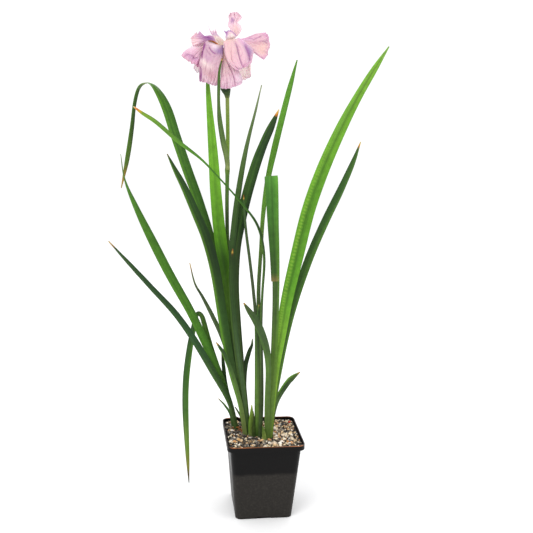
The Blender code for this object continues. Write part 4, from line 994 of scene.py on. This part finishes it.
def lay_petal(node, rails, ruffles=(), creases=(), spikes=(), tints_light_and_shade=(), tones=PETAL_TONES, curl=0.0,
              rounding=0.03, crumple=0.8, frill=0.7, columns=88, rows=76):
    """A petal laid between three lines from throat to rim: one edge, the middle and the other edge.

    A ruffle is a wave across it: depth, waves, phase and the power with which it grows to the rim.
    A crease is a valley along a line of places, each across and along the petal, with its depth
    and half width in mm and how much painted shade lies in it.  A spike draws the rim out: place
    across, half width and length as a share.  A tint colours a patch: place across, place along,
    both half widths, colour and strength; some tints are the petal's own colour and some are
    painted light or shade.  Curl bends the rim, and rounding draws its corners in.  Crumple is
    the height of its own sharp wrinkles, and frill that of the small waves of its rim.
    """
    left, middle, right = [curve_through(rail, RAIL_STEPS) for rail in rails]

    def base_at(u, v):
        return arch(point_at(left, v), point_at(middle, v), point_at(right, v), u)

    petal = grid_piece(node + "_blade", columns, rows)
    seed = Vector((rails[1][-1][0] * 0.31, rails[1][-1][2] * 0.17, 0))
    colours, fold_shades = [], []
    length = (middle[-1] - middle[0]).length

    def flat_place(u, v):
        return Vector((u * (point_at(right, v) - point_at(left, v)).length / 2, v * length))

    lines = [([flat_place(*place) for place in line], *settings) for line, *settings in creases]
    for vertex in petal.data.vertices:
        u, v = vertex.co.x, (vertex.co.y + 1) / 2
        flat = flat_place(u, v)
        # The rim is a little uneven
        reach = 1 - rounding * abs(u) ** 4 + 0.04 * noise.noise(seed + Vector((u * 5, 3, 0)))
        reach += 0.02 * noise.noise(seed + Vector((u * 14, 6, 0)))
        for place, wide, long in spikes:
            reach += long * math.exp(-((u - place) / wide) ** 2)
        share = v * (1 + (reach - 1) * ease(0.35, 1, v))
        spot = base_at(u, share)
        over = base_at(u + 0.02, share) - base_at(u - 0.02, share)
        along = base_at(u, share + 0.02) - base_at(u, share - 0.02)
        face = along.cross(over).normalized()
        lift = 0
        for depth, waves, phase, power in ruffles:
            lift += depth * math.cos((u * waves + phase) * math.pi) * v ** power
        wrinkle = noise.noise(seed + Vector((u * 2.2, v * 2.8 + u * 0.8, 5)))
        small = noise.noise(seed + Vector((u * 5, v * 6 - u, 2)))
        crumpled = WRINKLE_HEIGHT * abs(wrinkle) + SMALL_WRINKLE_HEIGHT * abs(small)
        lift += crumple * crumpled * ease(0.05, 0.45, v)
        lift += frill * noise.noise(seed + Vector((u * 8, v * 3, 8))) * ease(0.6, 1, v)
        # Its own wrinkles get thin lines of painted shade in their valleys, paler than in most creases
        fold = 0.3 * math.exp(-(wrinkle / 0.05) ** 2) + 0.14 * math.exp(-(small / 0.06) ** 2)
        fold *= crumple
        for line, depth, wide, dark in lines:
            gap, at = near_line(flat, line)
            if gap < CREASE_REACH * wide:
                fade = ease(-0.05, 0.2, at) * ease(1.05, 0.8, at)
                lift -= depth * math.exp(-gap / wide) * fade
                fold = max(fold, dark * math.exp(-(gap / wide) ** 2) * fade)
        lift += curl * max(v - LIP_START, 0) ** 2 * LIP_CURL
        vertex.co = (THROAT + spot + face * lift) * MM
        tone = along_stops(tones, v)
        for place, height, wide, tall, colour, strength in tints_light_and_shade:
            near = math.exp(-((u - place) / wide) ** 2 - ((v - height) / tall) ** 2)
            tone = tone.lerp(Vector(srgb(colour)), strength * near)
        colours.append(tuple(tone))
        fold_shades.append(fold)
    paint(petal, "petal_colour", colours)
    paint(petal, "fold", fold_shades)
    thicken(petal, PETAL_THICKNESS)
    bpy.ops.object.shade_smooth()
    petal.data.materials.append(petal_tissue)
    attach(petal, "root")
    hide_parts(node)


# Petal tissue lets some light through and is matt with a faint bloom.  Its veins fan out to one or
# two millimetres apart at the rim.  Deep violet painted shade fills its folds and creases.  The side
# of a petal that faces the back is the outside of the flower, and it is an even pink.
petal_tissue, tree, shader = new_material("thin_iris_petal_tissue")
uv = add_node(tree, "TexCoord").outputs["UV"]
spot = add_node(tree, "TexCoord").outputs["Object"]
tone = add_node(tree, "Attribute", attribute_name="petal_colour")
fold = add_node(tree, "Attribute", attribute_name="fold")
vein_map = add_node(tree, "Mapping", {0: uv, "Scale": (1, 0.6, 1)})
veins = add_node(tree, "TexWave", {"Vector": vein_map.outputs[0], "Scale": 7, "Distortion": 2.2,
                                   "Detail": 2, "Detail Scale": 1.5},
                 bands_direction="X", wave_profile="SIN")
flush_map = add_node(tree, "Mapping", {0: uv, "Scale": (5, 3, 1)})
flush = add_node(tree, "TexNoise", {"Vector": flush_map.outputs[0], "Scale": 1, "Detail": 4,
                                    "Roughness": 0.55})
vein_tint = add_node(tree, "MapRange", {0: veins.outputs["Fac"], 1: 0.55, 2: 1, 3: 0, 4: 0.08})
flush_tint = add_node(tree, "MapRange", {0: flush.outputs["Fac"], 1: 0.45, 2: 0.75, 3: 0, 4: 0.35})
facing = add_node(tree, "SeparateXYZ", {0: add_node(tree, "TexCoord").outputs["Normal"]})
outside = add_node(tree, "MapRange", {0: facing.outputs["Y"], 1: 0.12, 2: 0.4, 3: 0, 4: 0.75})
sided = add_node(tree, "Mix", {0: outside.outputs[0], 6: tone.outputs["Color"], 7: srgb("#d8a8c0")},
                 data_type="RGBA")
veined = add_node(tree, "Mix", {0: vein_tint.outputs[0], 6: sided.outputs[2], 7: srgb("#b878a2")},
                  data_type="RGBA")
flushed = add_node(tree, "Mix", {0: flush_tint.outputs[0], 6: veined.outputs[2], 7: srgb("#c08aa8")},
                   data_type="RGBA")
# Deep violet painted shade where the fold value is high
fold_shade_amount = add_node(tree, "MapRange", {0: fold.outputs["Fac"], 1: 0.06, 2: 1, 3: 0, 4: 0.95})
shaded = add_node(tree, "Mix", {0: fold_shade_amount.outputs[0], 6: flushed.outputs[2], 7: srgb("#8a4382")},
                  data_type="RGBA")
tree.links.new(shaded.outputs[2], shader.inputs["Base Color"])
bloom = add_node(tree, "MapRange", {0: flush.outputs["Fac"], 1: 0.3, 2: 0.7, 3: 0.5, 4: 0.66})
tree.links.new(bloom.outputs[0], shader.inputs["Roughness"])
shader.inputs["Specular IOR Level"].default_value = 0.2
shader.inputs["Subsurface Weight"].default_value = 0.25
shader.inputs["Subsurface Radius"].default_value = (0.002, 0.0012, 0.0015)
vein_bump = add_node(tree, "Bump", {"Strength": 0.25, "Distance": 0.0002, "Height": veins.outputs["Fac"]})
crinkle = add_node(tree, "TexNoise", {"Vector": spot, "Scale": 260, "Detail": 3})
crinkle_bump = add_node(tree, "Bump", {"Strength": 0.3, "Distance": 0.00045,
                                       "Height": crinkle.outputs["Fac"], "Normal": vein_bump.outputs[0]})
tree.links.new(crinkle_bump.outputs[0], shader.inputs["Normal"])

# The left fall reaches out flat and rolls its lip under.
# The pale patch at its upper left is painted light where the style arm shades it.  The magenta band and
# dark crease along its right edge, where it tucks behind the next fall, and the violet arch above its lip
# are painted shade.
lay_petal("petal_left", [
    [(-7, 2.6, -4), (-11.5, 3, -2), (-20.5, 4, -2), (-29.5, 4, -4), (-34.5, 3, -8), (-39.5, 1, -11),
     (-45.5, -1, -16.5)],
    [(-7.5, 0, -5), (-13, -2, -5), (-21.5, -3, -8.5), (-29, -10, -14), (-34.5, -12, -19.5),
     (-38, -12, -24)],
    [(-7, -2, -6.4), (-13, -2, -7), (-18.5, 0, -8.5), (-20.2, -1, -15), (-22, -6.5, -21.5),
     (-25.6, -14.5, -29.5)]],
    ruffles=[(0.9, 3, 0, 1.5), (0.6, 7.4, 0.3, 3)],
    creases=[
        ([(-0.55, 0.95), (-0.35, 0.8), (0.05, 0.76), (0.45, 0.79), (0.8, 0.78)], 1.5, 1.1, 0.55),
        ([(0.9, 0.3), (0.93, 0.5), (0.95, 0.72)], 0.6, 1.2, 1),
        ([(-0.2, 0.35), (-0.35, 0.7)], 0.6, 1, 0.15)],
    tints_light_and_shade=[(0.0, 0.7, 1.5, 0.16, "#c294b0", 0.45), (0.0, 0.98, 1.4, 0.04, "#c8a0a8", 0.7),
           (0.2, 0.84, 0.8, 0.05, "#9c6e9a", 0.5), (-0.9, 0.4, 0.45, 0.35, "#f2dce4", 0.9),
           (1.0, 0.5, 0.16, 0.25, "#8f3f7c", 1),
           (1.0, 0.93, 0.3, 0.1, "#b0628e", 0.7)],
    crumple=0.25, curl=-1.6, rounding=0)
# The large fall beside it hangs down in front, between the left fall and the leafy bract.
# The violet patches near its throat under the right front fall, the magenta along its left edge and the
# dark mauve at its lower left are painted shade.  The pale bands across its upper half and middle are
# painted highlights.
lay_petal("petal_front_left", [
    [(-5.4, -4.6, -6.4), (-12, -7.5, -2), (-19.5, -8, -4.2), (-22.5, -8.5, -14), (-23.2, -11, -20.5),
     (-25, -12.5, -28.5), (-24.9, -13, -37), (-25, -11, -46.5)],
    [(-3.4, -6, -6.4), (-5, -9, -6.6), (-7.5, -13, -14), (-11.5, -18, -22.5), (-13.5, -21, -31),
     (-15, -22.5, -38.5), (-16, -22.5, -44), (-17, -22, -48)],
    [(-1.2, -6.6, -6.4), (1, -8.2, -6.4), (1, -11, -15), (-0.5, -17, -23), (-2, -21, -31),
     (-2.5, -23, -38.5), (-3.5, -24, -45), (-6, -23, -52.5)]],
    ruffles=[(1.0, 3, 0.2, 1.5), (0.6, 8.5, 0.1, 2.5)],
    creases=[
        ([(-0.97, 0.26), (-0.96, 0.38), (-0.95, 0.48), (-0.9, 0.6)], 2, 1, 1),
        ([(-0.88, 0.32), (-0.68, 0.35), (-0.4, 0.37), (-0.1, 0.38)], 0.9, 0.6, 0.45),
        ([(-0.72, 0.27), (-0.4, 0.31), (-0.12, 0.32), (0.16, 0.32)], 1.5, 0.6, 0.95),
        ([(-0.95, 0.7), (-0.78, 0.77), (-0.7, 0.87), (-0.75, 1.05)], 2.2, 1.3, 0.8),
        ([(-0.4, 0.66), (-0.12, 0.84), (0.43, 1.02)], 0.7, 0.7, 0.25),
        ([(0.03, 0.58), (0.33, 0.79)], 0.7, 0.6, 0.25),
        ([(0.5, 0.45), (0.62, 0.7), (0.55, 1.0)], 0.6, 0.6, 0.25),
        ([(-0.9, 0.64), (-0.02, 0.54), (0.65, 0.45)], -1, 2, 0)],
    tints_light_and_shade=[(0.35, 0.25, 0.6, 0.06, "#84689c", 0.9), (0.95, 0.2, 0.4, 0.09, "#75588e", 0.9),
           (-1.0, 0.44, 0.1, 0.16, "#8f3f7c", 0.8), (-0.45, 0.45, 0.5, 0.06, "#b088a6", 0.5),
           (-0.4, 0.58, 0.7, 0.06, "#e0d0ca", 0.75),
           (-0.35, 0.2, 0.5, 0.07, "#e8d6e0", 0.75), (-0.3, 0.72, 0.4, 0.08, "#c4aca4", 0.5),
           (0.25, 0.72, 0.55, 0.11, "#b8868e", 0.6), (-0.35, 0.86, 0.4, 0.08, "#d2bcc2", 0.7),
           (0.3, 0.95, 0.4, 0.06, "#d2bcc2", 0.5),
           (-0.82, 0.9, 0.2, 0.13, "#6c3c62", 0.95)],
    tones=DEEP_TONES)
# The front fall hangs in the middle, with one long fold from its throat to its rim.
lay_petal("petal_front", [
    [(-0.2, -6.4, -8), (-0.4, -13, -26.5), (-1.8, -19, -38), (-2.8, -21.5, -46), (-3.4, -20, -53)],
    [(3.5, -6.4, -10), (5.5, -16, -26.5), (7.5, -22, -36.5), (9, -25, -45), (9.5, -25, -52.5)],
    [(6, -5, -10), (13, -13, -26), (18, -17, -33.5), (21.5, -18, -40.5), (23, -16, -45.5)]],
    ruffles=[(0.9, 3, 0, 1.5), (0.6, 9, 0.2, 2)],
    creases=[
        ([(-0.5, 0.04), (-0.2, 0.16), (0.2, 0.27), (0.28, 0.48), (0.33, 0.7), (0.33, 1)], 1.6, 0.65, 0.65),
        ([(0.45, 0.3), (0.45, 0.5), (0.55, 0.72), (0.8, 0.92)], -1.3, 1.3, 0),
        ([(-0.88, 0.24), (-0.78, 0.45), (-0.68, 0.8)], 1, 0.7, 0.3),
        ([(-0.45, 0.5), (-0.38, 0.98)], 0.7, 0.5, 0.25),
        ([(-0.07, 0.46), (-0.05, 0.67), (-0.05, 0.88)], 0.8, 0.6, 0.35)],
    tints_light_and_shade=[(-0.3, 0.4, 0.5, 0.3, "#c8aca8", 0.5), (0.8, 0.75, 0.5, 0.3, "#dcc6d2", 0.8),
           (-0.2, 0.85, 0.6, 0.2, "#d8bcc6", 0.7)])
# The fall to its right bulges forward over it and turns its rim under.
# The grey-violet band down its right side is painted shade.
lay_petal("petal_right_front", [
    [(0.4, -7.4, -5), (1, -9.5, -2.4), (1.2, -13, -8), (2, -18, -16), (6, -22, -25.5), (12, -26, -31),
     (16, -27, -33)],
    [(4.4, -6.6, -3.6), (9.5, -8, 0), (12.5, -16, -9), (14.5, -23, -18.5), (16.5, -28, -26),
     (18.5, -30, -31), (19.5, -30, -32.5)],
    [(6.8, -4.6, -3.2), (18.5, -4, 1.5), (28, -8, -4), (34, -13, -10.5), (33.5, -17, -17),
     (31.5, -21, -24.5), (28.5, -23, -27.5)]],
    ruffles=[(0.9, 3, 0.1, 1.5), (0.5, 8, 0.4, 2.5)],
    creases=[
        ([(0.3, 0.2), (0.28, 0.32), (0.2, 0.43), (0.18, 0.57), (0.2, 0.71), (0.32, 0.88)], 2, 1.1, 0.7),
        ([(0.86, 0.3), (0.7, 0.47), (0.78, 0.63), (0.92, 0.8)], 2, 1.5, 0.65),
        ([(-0.5, 0.72), (-0.35, 0.9), (0.03, 0.96), (0.6, 0.92)], 1.4, 0.9, 0.7),
        ([(-0.28, 0.32), (-0.35, 0.48), (-0.55, 0.68)], 1, 0.7, 0.3),
        ([(-0.84, 0.24), (-0.95, 0.41), (-0.93, 0.6)], 1, 0.7, 0.5),
        ([(0.96, 0.14), (0.8, 0.29), (0.9, 0.38)], -1.3, 1.1, 0), ([(0.45, 0.4), (0.45, 0.7)], -1, 1.4, 0)],
    tints_light_and_shade=[(-0.4, 0.4, 0.5, 0.3, "#d8b2b0", 0.7), (0.4, 0.82, 0.22, 0.07, "#a8688e", 0.6),
           (0.78, 0.48, 0.18, 0.2, "#86689a", 0.8), (0.95, 0.2, 0.4, 0.14, "#d6a8cc", 0.7)],
    curl=-1.2, rounding=0)
# The right fall reaches out to the side like an open fan.
# The grey patch near its rim is painted shade.
lay_petal("petal_right", [
    [(7, 3.6, -2), (19, 3.5, 2), (29.5, 5, 5), (37, 6, 8.5), (43, 7, 10), (50.5, 6, 11)],
    [(8, 1.4, -3.4), (19.5, 0.5, -0.5), (31, 0, -1.5), (40.5, -1, -2.5), (47.5, -3, -3),
     (53.5, -4, -3)],
    [(8, -0.8, -5), (18.5, -1.5, -4.5), (28, -4, -8), (35.5, -9, -13.5), (41.5, -11, -18),
     (47, -12, -21)]],
    ruffles=[(1.0, 3, 0.2, 1.5), (0.5, 6.5, 0, 2.5)],
    creases=[
        ([(-0.86, 0.36), (-0.45, 0.5), (-0.62, 0.64), (-0.82, 0.85)], 1.5, 0.7, 0.55),
        ([(-0.25, 0.62), (-0.25, 0.8), (-0.05, 0.92)], 1.3, 1.1, 0.5),
        ([(0.5, 0.36), (0.82, 0.56)], 1.2, 0.6, 0.45),
        ([(0.95, 0.56), (0.95, 0.74), (0.97, 1)], 0.8, 0.6, 0.6),
        ([(-0.12, 0.98), (0.33, 0.96), (0.73, 0.97)], 0.5, 0.5, 0.35),
        ([(-0.9, 0.95), (-0.4, 0.97)], 0.5, 0.8, 0.3)],
    tints_light_and_shade=[(0.3, 0.75, 0.6, 0.25, "#dcbcaa", 0.8), (-0.7, 0.3, 0.5, 0.25, "#cf9cc4", 0.6),
           (-0.1, 0.6, 0.35, 0.16, "#c294a0", 0.4), (-0.25, 0.88, 0.12, 0.1, "#8f7c84", 0.5)])
# One petal stands up behind the throat, with a narrow waist and a frilled top.
# The violet patch on its left side is painted shadow.
lay_petal("petal_upright", [
    [(2.6, 5.6, -2), (9, 5.5, 4), (9.5, 6, 12), (7.5, 8, 16.5), (8.5, 9, 22.5), (8, 9, 26.5),
     (10, 8, 30.5)],
    [(4.6, 5.4, -2), (12, 5, 4), (15, 5, 12), (13.5, 6, 17), (14, 8, 22.5), (14.5, 8, 27), (14, 7, 31)],
    [(6.6, 5.6, -1), (16, 6, 4), (22, 7, 11.5), (21.5, 9, 17), (17.5, 10, 20.5), (22.5, 9, 26),
     (17.5, 8, 31)]],
    ruffles=[(0.8, 3, 0, 1.5), (0.4, 7, 0.2, 1.5)],
    creases=[
        ([(-0.5, 0.56), (-0.3, 0.66), (-0.45, 0.8)], 1, 1, 0.4), ([(0.3, 0.2), (0.1, 0.5)], -0.8, 1, 0),
        ([(0.3, 0.6), (0.0, 0.74), (0.2, 0.9)], 0.7, 0.6, 0.2)],
    rounding=0.02, crumple=0.2,
    tints_light_and_shade=[(0, 0.5, 9, 9, "#e6c8d0", 0.8), (0.2, 0.35, 0.6, 0.2, "#e0bdb0", 0.6),
           (-0.35, 0.65, 0.4, 0.1, "#aa80b0", 0.75)])
# Two more falls complete the flower at the back, and their cream insides show past the front ones.  Their
# tones are lightened almost to white, as painted light where the front falls shade them.
lay_petal("petal_back_right", [
    [(7.6, 5, -4.8), (14, 7, -5), (22.5, 11, -6), (31, 16, -13), (35.5, 19, -23.5), (35.5, 18, -34.5)],
    [(5.6, 7, -4.8), (15, 17, -7.5), (21.5, 26, -17), (26.5, 31, -28.5), (27.5, 31, -41)],
    [(3, 8, -5), (3.5, 18, -9), (4, 27, -17), (4, 33, -29), (4, 33, -41)]],
    ruffles=[(1.2, 3, 0, 1.5), (0.4, 5, 0.3, 2.5)], frill=0.2,
    tones=[(0, "#d8c090"), (0.15, "#ecdccb"), (0.6, "#fff0ec"), (0.92, "#fff0ec"), (1, "#f4d8e0")],
    crumple=0.35,
    creases=[
        ([(0, 0.2), (0.1, 0.9)], 1.2, 0.8, 0.2), ([(-0.5, 0.4), (-0.6, 1)], 0.8, 0.7, 0.15),
        ([(0.5, 0.3), (0.55, 1)], 1, 0.8, 0.2)])
lay_petal("petal_back_left", [
    [(-1, 8, -5), (-1, 18, -9), (-2, 27, -18), (-3, 32, -29), (-4, 31, -40)],
    [(-4, 7.4, -5), (-10, 15, -8.5), (-15, 22, -16.5), (-19, 26, -27), (-19, 25, -36)],
    [(-6.4, 5, -5), (-15.5, 8, -10), (-23.5, 11, -17), (-29.5, 12, -24.5), (-32, 9, -32)]],
    ruffles=[(1.2, 3, 0.3, 1.5), (0.4, 5, 0, 2.5)], frill=0.2,
    tones=[(0, "#d8c090"), (0.15, "#f0e8e0"), (0.6, "#fbf4f0"), (0.92, "#fbf6f6"), (1, "#f0e6ea")],
    crumple=0.35,
    creases=[
        ([(0, 0.2), (-0.1, 0.9)], 1.2, 0.8, 0.2), ([(-0.5, 0.4), (-0.5, 1)], 1, 0.8, 0.2)])

# The three style arms stand over the throat like small roofs, cream below and violet above, and
# their crests are cut into fringes.
# The violet band across it is partly its own colour and partly painted shade on its underside.
lay_petal("style_left", [
    [(-1.8, -2, -6), (-7, -4, -3), (-13.5, -5, -2), (-21, -5, -3.5), (-28, -4.6, -6.5), (-32.5, -4, -7.5)],
    [(-2.2, 0, -6), (-8, -2, 0), (-14, -2, 1.4), (-22, -3, 0.4), (-30, -3, 0.5), (-33.5, -2, -0.5)],
    [(-1.8, 1.6, -6), (-6.5, 0, 1.5), (-12.5, 1, 4.5), (-20.5, 1, 3.5), (-22.5, 1.5, 6.5), (-24.5, 2, 8.5),
     (-26.5, 2, 5.5), (-28, 2, 7.5), (-30, 1, 3)]],
    ruffles=[(0.5, 3, 0, 1), (0.7, 6, 0.2, 2)], spikes=[(0.4, 0.08, 0.1), (0.2, 0.1, 0.05)],
    creases=[([(-0.5, 0.64), (0.05, 0.5), (0.53, 0.31)], 0.8, 1.4, 0.35),
             ([(0.7, 0.76), (0.43, 0.68), (0.1, 0.6)], 0.6, 0.5, 0.3),
             ([(-0.9, 0.75), (-0.96, 0.53), (-0.96, 0.3)], 0.3, 0.9, 0.5),
             ([(0.5, 0.95), (0.1, 0.8)], 0.7, 0.5, 0.3)],
    tints_light_and_shade=[(0.0, 0.44, 0.7, 0.15, "#7c4480", 0.95), (-0.9, 0.42, 0.25, 0.16, "#7a3f78", 0.9),
           (-0.6, 0.85, 0.6, 0.25, "#e6cacc", 0.9), (1.0, 0.6, 0.4, 0.16, "#b48cac", 0.7)],
    tones=[(0, "#e4d4c4"), (0.13, "#deccc4"), (0.24, "#a87ca0"), (0.42, "#986898"), (0.62, "#bc90ac"),
           (0.8, "#d4aeb8"), (1, "#dcb8bc")],
    crumple=0.2, frill=0.4, columns=60, rows=64)
# The violet at its left side is painted shade; the violet along its right edge is its own colour.
lay_petal("style_right", [
    [(0.8, -2.8, -6), (4, -4, -0.5), (3.5, -5, 3), (4, -5, 5.5), (3, -4, 8)],
    [(2, -1.4, -6), (9, -4, 0.5), (10, -6, 4), (9, -6, 7.5), (7.5, -4, 10)],
    [(2.4, 0.6, -6), (14, -1, 2.6), (16, -1, 4.5), (15, 0, 6.5), (12, 1, 9.5)]],
    ruffles=[(0.3, 3, 0, 1)], spikes=[(-0.95, 0.1, 0.2), (-0.1, 0.12, 0.12)],
    tints_light_and_shade=[(1.0, 0.75, 0.22, 0.35, "#85559a", 0.95), (-0.8, 0.75, 0.25, 0.14, "#7a4a90", 0.8),
           (0.1, 0.55, 0.5, 0.25, "#ecdad2", 0.8), (-0.8, 0.6, 0.2, 0.3, "#a880b0", 0.6)],
    tones=[(0, "#d6c8a4"), (0.5, "#e6d4d4"), (0.8, "#d0a8bc"), (0.93, "#9a6aa4"), (1, "#8a5a9c")],
    crumple=0.3, columns=52, rows=56)
lay_petal("style_back", [
    [(-1.2, 3, -6), (-5.5, 4, 1), (-9, 5, 4), (-12, 5.5, 7.5), (-13.5, 6, 11)],
    [(-0.2, 3.6, -6), (-3.5, 5, 1.5), (-6.5, 6.5, 4.5), (-8.5, 8, 8), (-9, 9, 11)],
    [(1, 3.2, -6), (2.5, 4, 0), (-0.5, 6, 3), (-4.5, 8, 7), (-5.5, 9, 11.5)]],
    ruffles=[(0.5, 3, 0, 1)], spikes=[(-0.97, 0.07, 0.3), (-0.4, 0.12, -0.3), (0.0, 0.07, 0.1),
                                      (0.35, 0.1, -0.15), (0.65, 0.07, 0.14)],
    tones=[(0, "#d6c4b0"), (0.45, "#e2d0c8"), (0.7, "#ccb0c4"), (1, "#e2c8d2")],
    crumple=0.3, columns=60, rows=56)

# Inside the skirt of petals runs the tube that joins them to the cup.  It is of their own tissue,
# green at the cup and cream where it opens into the throat.
tube = stalk_piece("petal_tube", [
    (-48.2, 21, 497.5, 4.6), (-49.2, 21, 509, 3.6), (-50.6, 21.5, 523, 3.6), (-52, 22, 533, 4.2),
    (-53, 22, 538.5, 5.2)],
    [(0, "#b9c08a"), (0.4, "#dcc8c8"), (1, "#ead79a")],
    sides=30, per_span=6, ribs=0.06, rib_count=6)
tube.data.color_attributes["leaf_colour"].name = "petal_colour"
paint(tube, "fold", [0.0] * len(tube.data.vertices))
tube.data.materials.append(petal_tissue)
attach(tube, "root")
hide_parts("flower_tube")

# Under each style arm lies one stamen: a pale thread that carries a long anther, orange-brown
# with pollen.
STAMEN_TONES = [(0, "#e6d6e0"), (0.22, "#e0b888"), (0.32, "#c87028"), (0.48, "#8c4218"), (1, "#5a2814")]
stamen_dust, tree, shader = new_material("pollen_on_anther")
spot = add_node(tree, "TexCoord").outputs["Object"]
tone = add_node(tree, "Attribute", attribute_name="leaf_colour")
dust = add_node(tree, "TexNoise", {"Vector": spot, "Scale": 1800, "Detail": 3})
dusty = add_node(tree, "MapRange", {0: dust.outputs["Fac"], 1: 0.45, 2: 0.7, 3: 0, 4: 0.4})
dusted = add_node(tree, "Mix", {0: dusty.outputs[0], 6: tone.outputs["Color"], 7: srgb("#c98a3c")},
                  data_type="RGBA")
tree.links.new(dusted.outputs[2], shader.inputs["Base Color"])
shader.inputs["Roughness"].default_value = 0.85
dust_bump = add_node(tree, "Bump", {"Strength": 0.6, "Distance": 0.0002, "Height": dust.outputs["Fac"]})
tree.links.new(dust_bump.outputs[0], shader.inputs["Normal"])
for node, route in (
        ("stamen_left", [(-3, -3.8, -6.2, 0.5), (-5.9, -8, -4.9, 0.7), (-10.4, -10, -3, 0.85),
                         (-15.6, -10.4, -2.6, 0.4)]),
        ("stamen_right", [(4.4, -1.6, -6.6, 0.5), (8, -2.6, -5.6, 0.6), (11.5, -3, -4.4, 0.9),
                          (14.5, -3.2, -3.2, 0.6)]),
        ("stamen_back", [(0.4, 5.8, -5, 0.5), (-0.6, 9.6, -1, 0.6), (-2.6, 12, 2.4, 1),
                         (-4.6, 13.4, 5, 0.6)])):
    stations = [(*(THROAT + Vector(place[:3])), place[3]) for place in route]
    stamen = stalk_piece(node + "_thread", stations, STAMEN_TONES, sides=16, ribs=0.12, rib_count=4)
    stamen.data.materials.append(stamen_dust)
    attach(stamen, "root")
    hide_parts(node)

# A narrow leafy bract stands up from the stem's joint, in front of the petals.  It is folded
# along its middle, pale where it starts and brown at its tip.
BRACT_RAILS = [
    [(6, -8, -142), (3.4, -11.5, -128), (-1, -15, -111), (-5, -21.5, -88), (-5.8, -26, -70),
     (-6.4, -33, -52), (-6, -42, -36), (-3, -45.5, -24)],
    [(8, -9.5, -142), (6.4, -12.5, -128), (2, -16, -111), (-2.6, -22.5, -88), (-4.2, -27, -70),
     (-4.8, -34, -52), (-5, -43, -36), (-2.5, -46, -23)],
    [(10.4, -8, -142), (9.2, -11.5, -128), (5, -15, -111), (0, -21.5, -88), (-2.8, -26, -70),
     (-3.4, -33, -52), (-4, -42, -36), (-2, -45.5, -24)]]
BRACT_TONES = [(0, "#9cab6c"), (0.15, "#7d9458"), (0.35, "#5c7a42"), (0.75, "#587a3c"), (0.93, "#5a7236"),
               (1, "#6b4a2c")]
BRACT_THICKNESS = 0.6
BRACT_ROWS = 60
BRACT_COLUMNS = 12
left, middle, right = [curve_through(rail, BRACT_ROWS) for rail in BRACT_RAILS]
bract = grid_piece("bract_blade", BRACT_COLUMNS, BRACT_ROWS)
colours, dryness = [], []
for vertex in bract.data.vertices:
    u, v = vertex.co.x, (vertex.co.y + 1) / 2
    row = round(v * BRACT_ROWS)
    vertex.co = (THROAT + arch(left[row], middle[row], right[row], u)) * MM
    # The half on one side of the fold is darkened as painted shade
    colours.append(tuple(along_stops(BRACT_TONES, v).lerp(DEEP, 0.35 * ease(-0.2, -0.9, u))))
    dryness.append(0.9 * ease(0.96, 1.0, v))
paint(bract, "leaf_colour", colours)
paint(bract, "dryness", dryness)
thicken(bract, BRACT_THICKNESS)
bpy.ops.object.shade_smooth_by_angle(angle=math.radians(50))
bract.data.materials.append(leaf_skin)
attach(bract, "root")
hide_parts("bract")
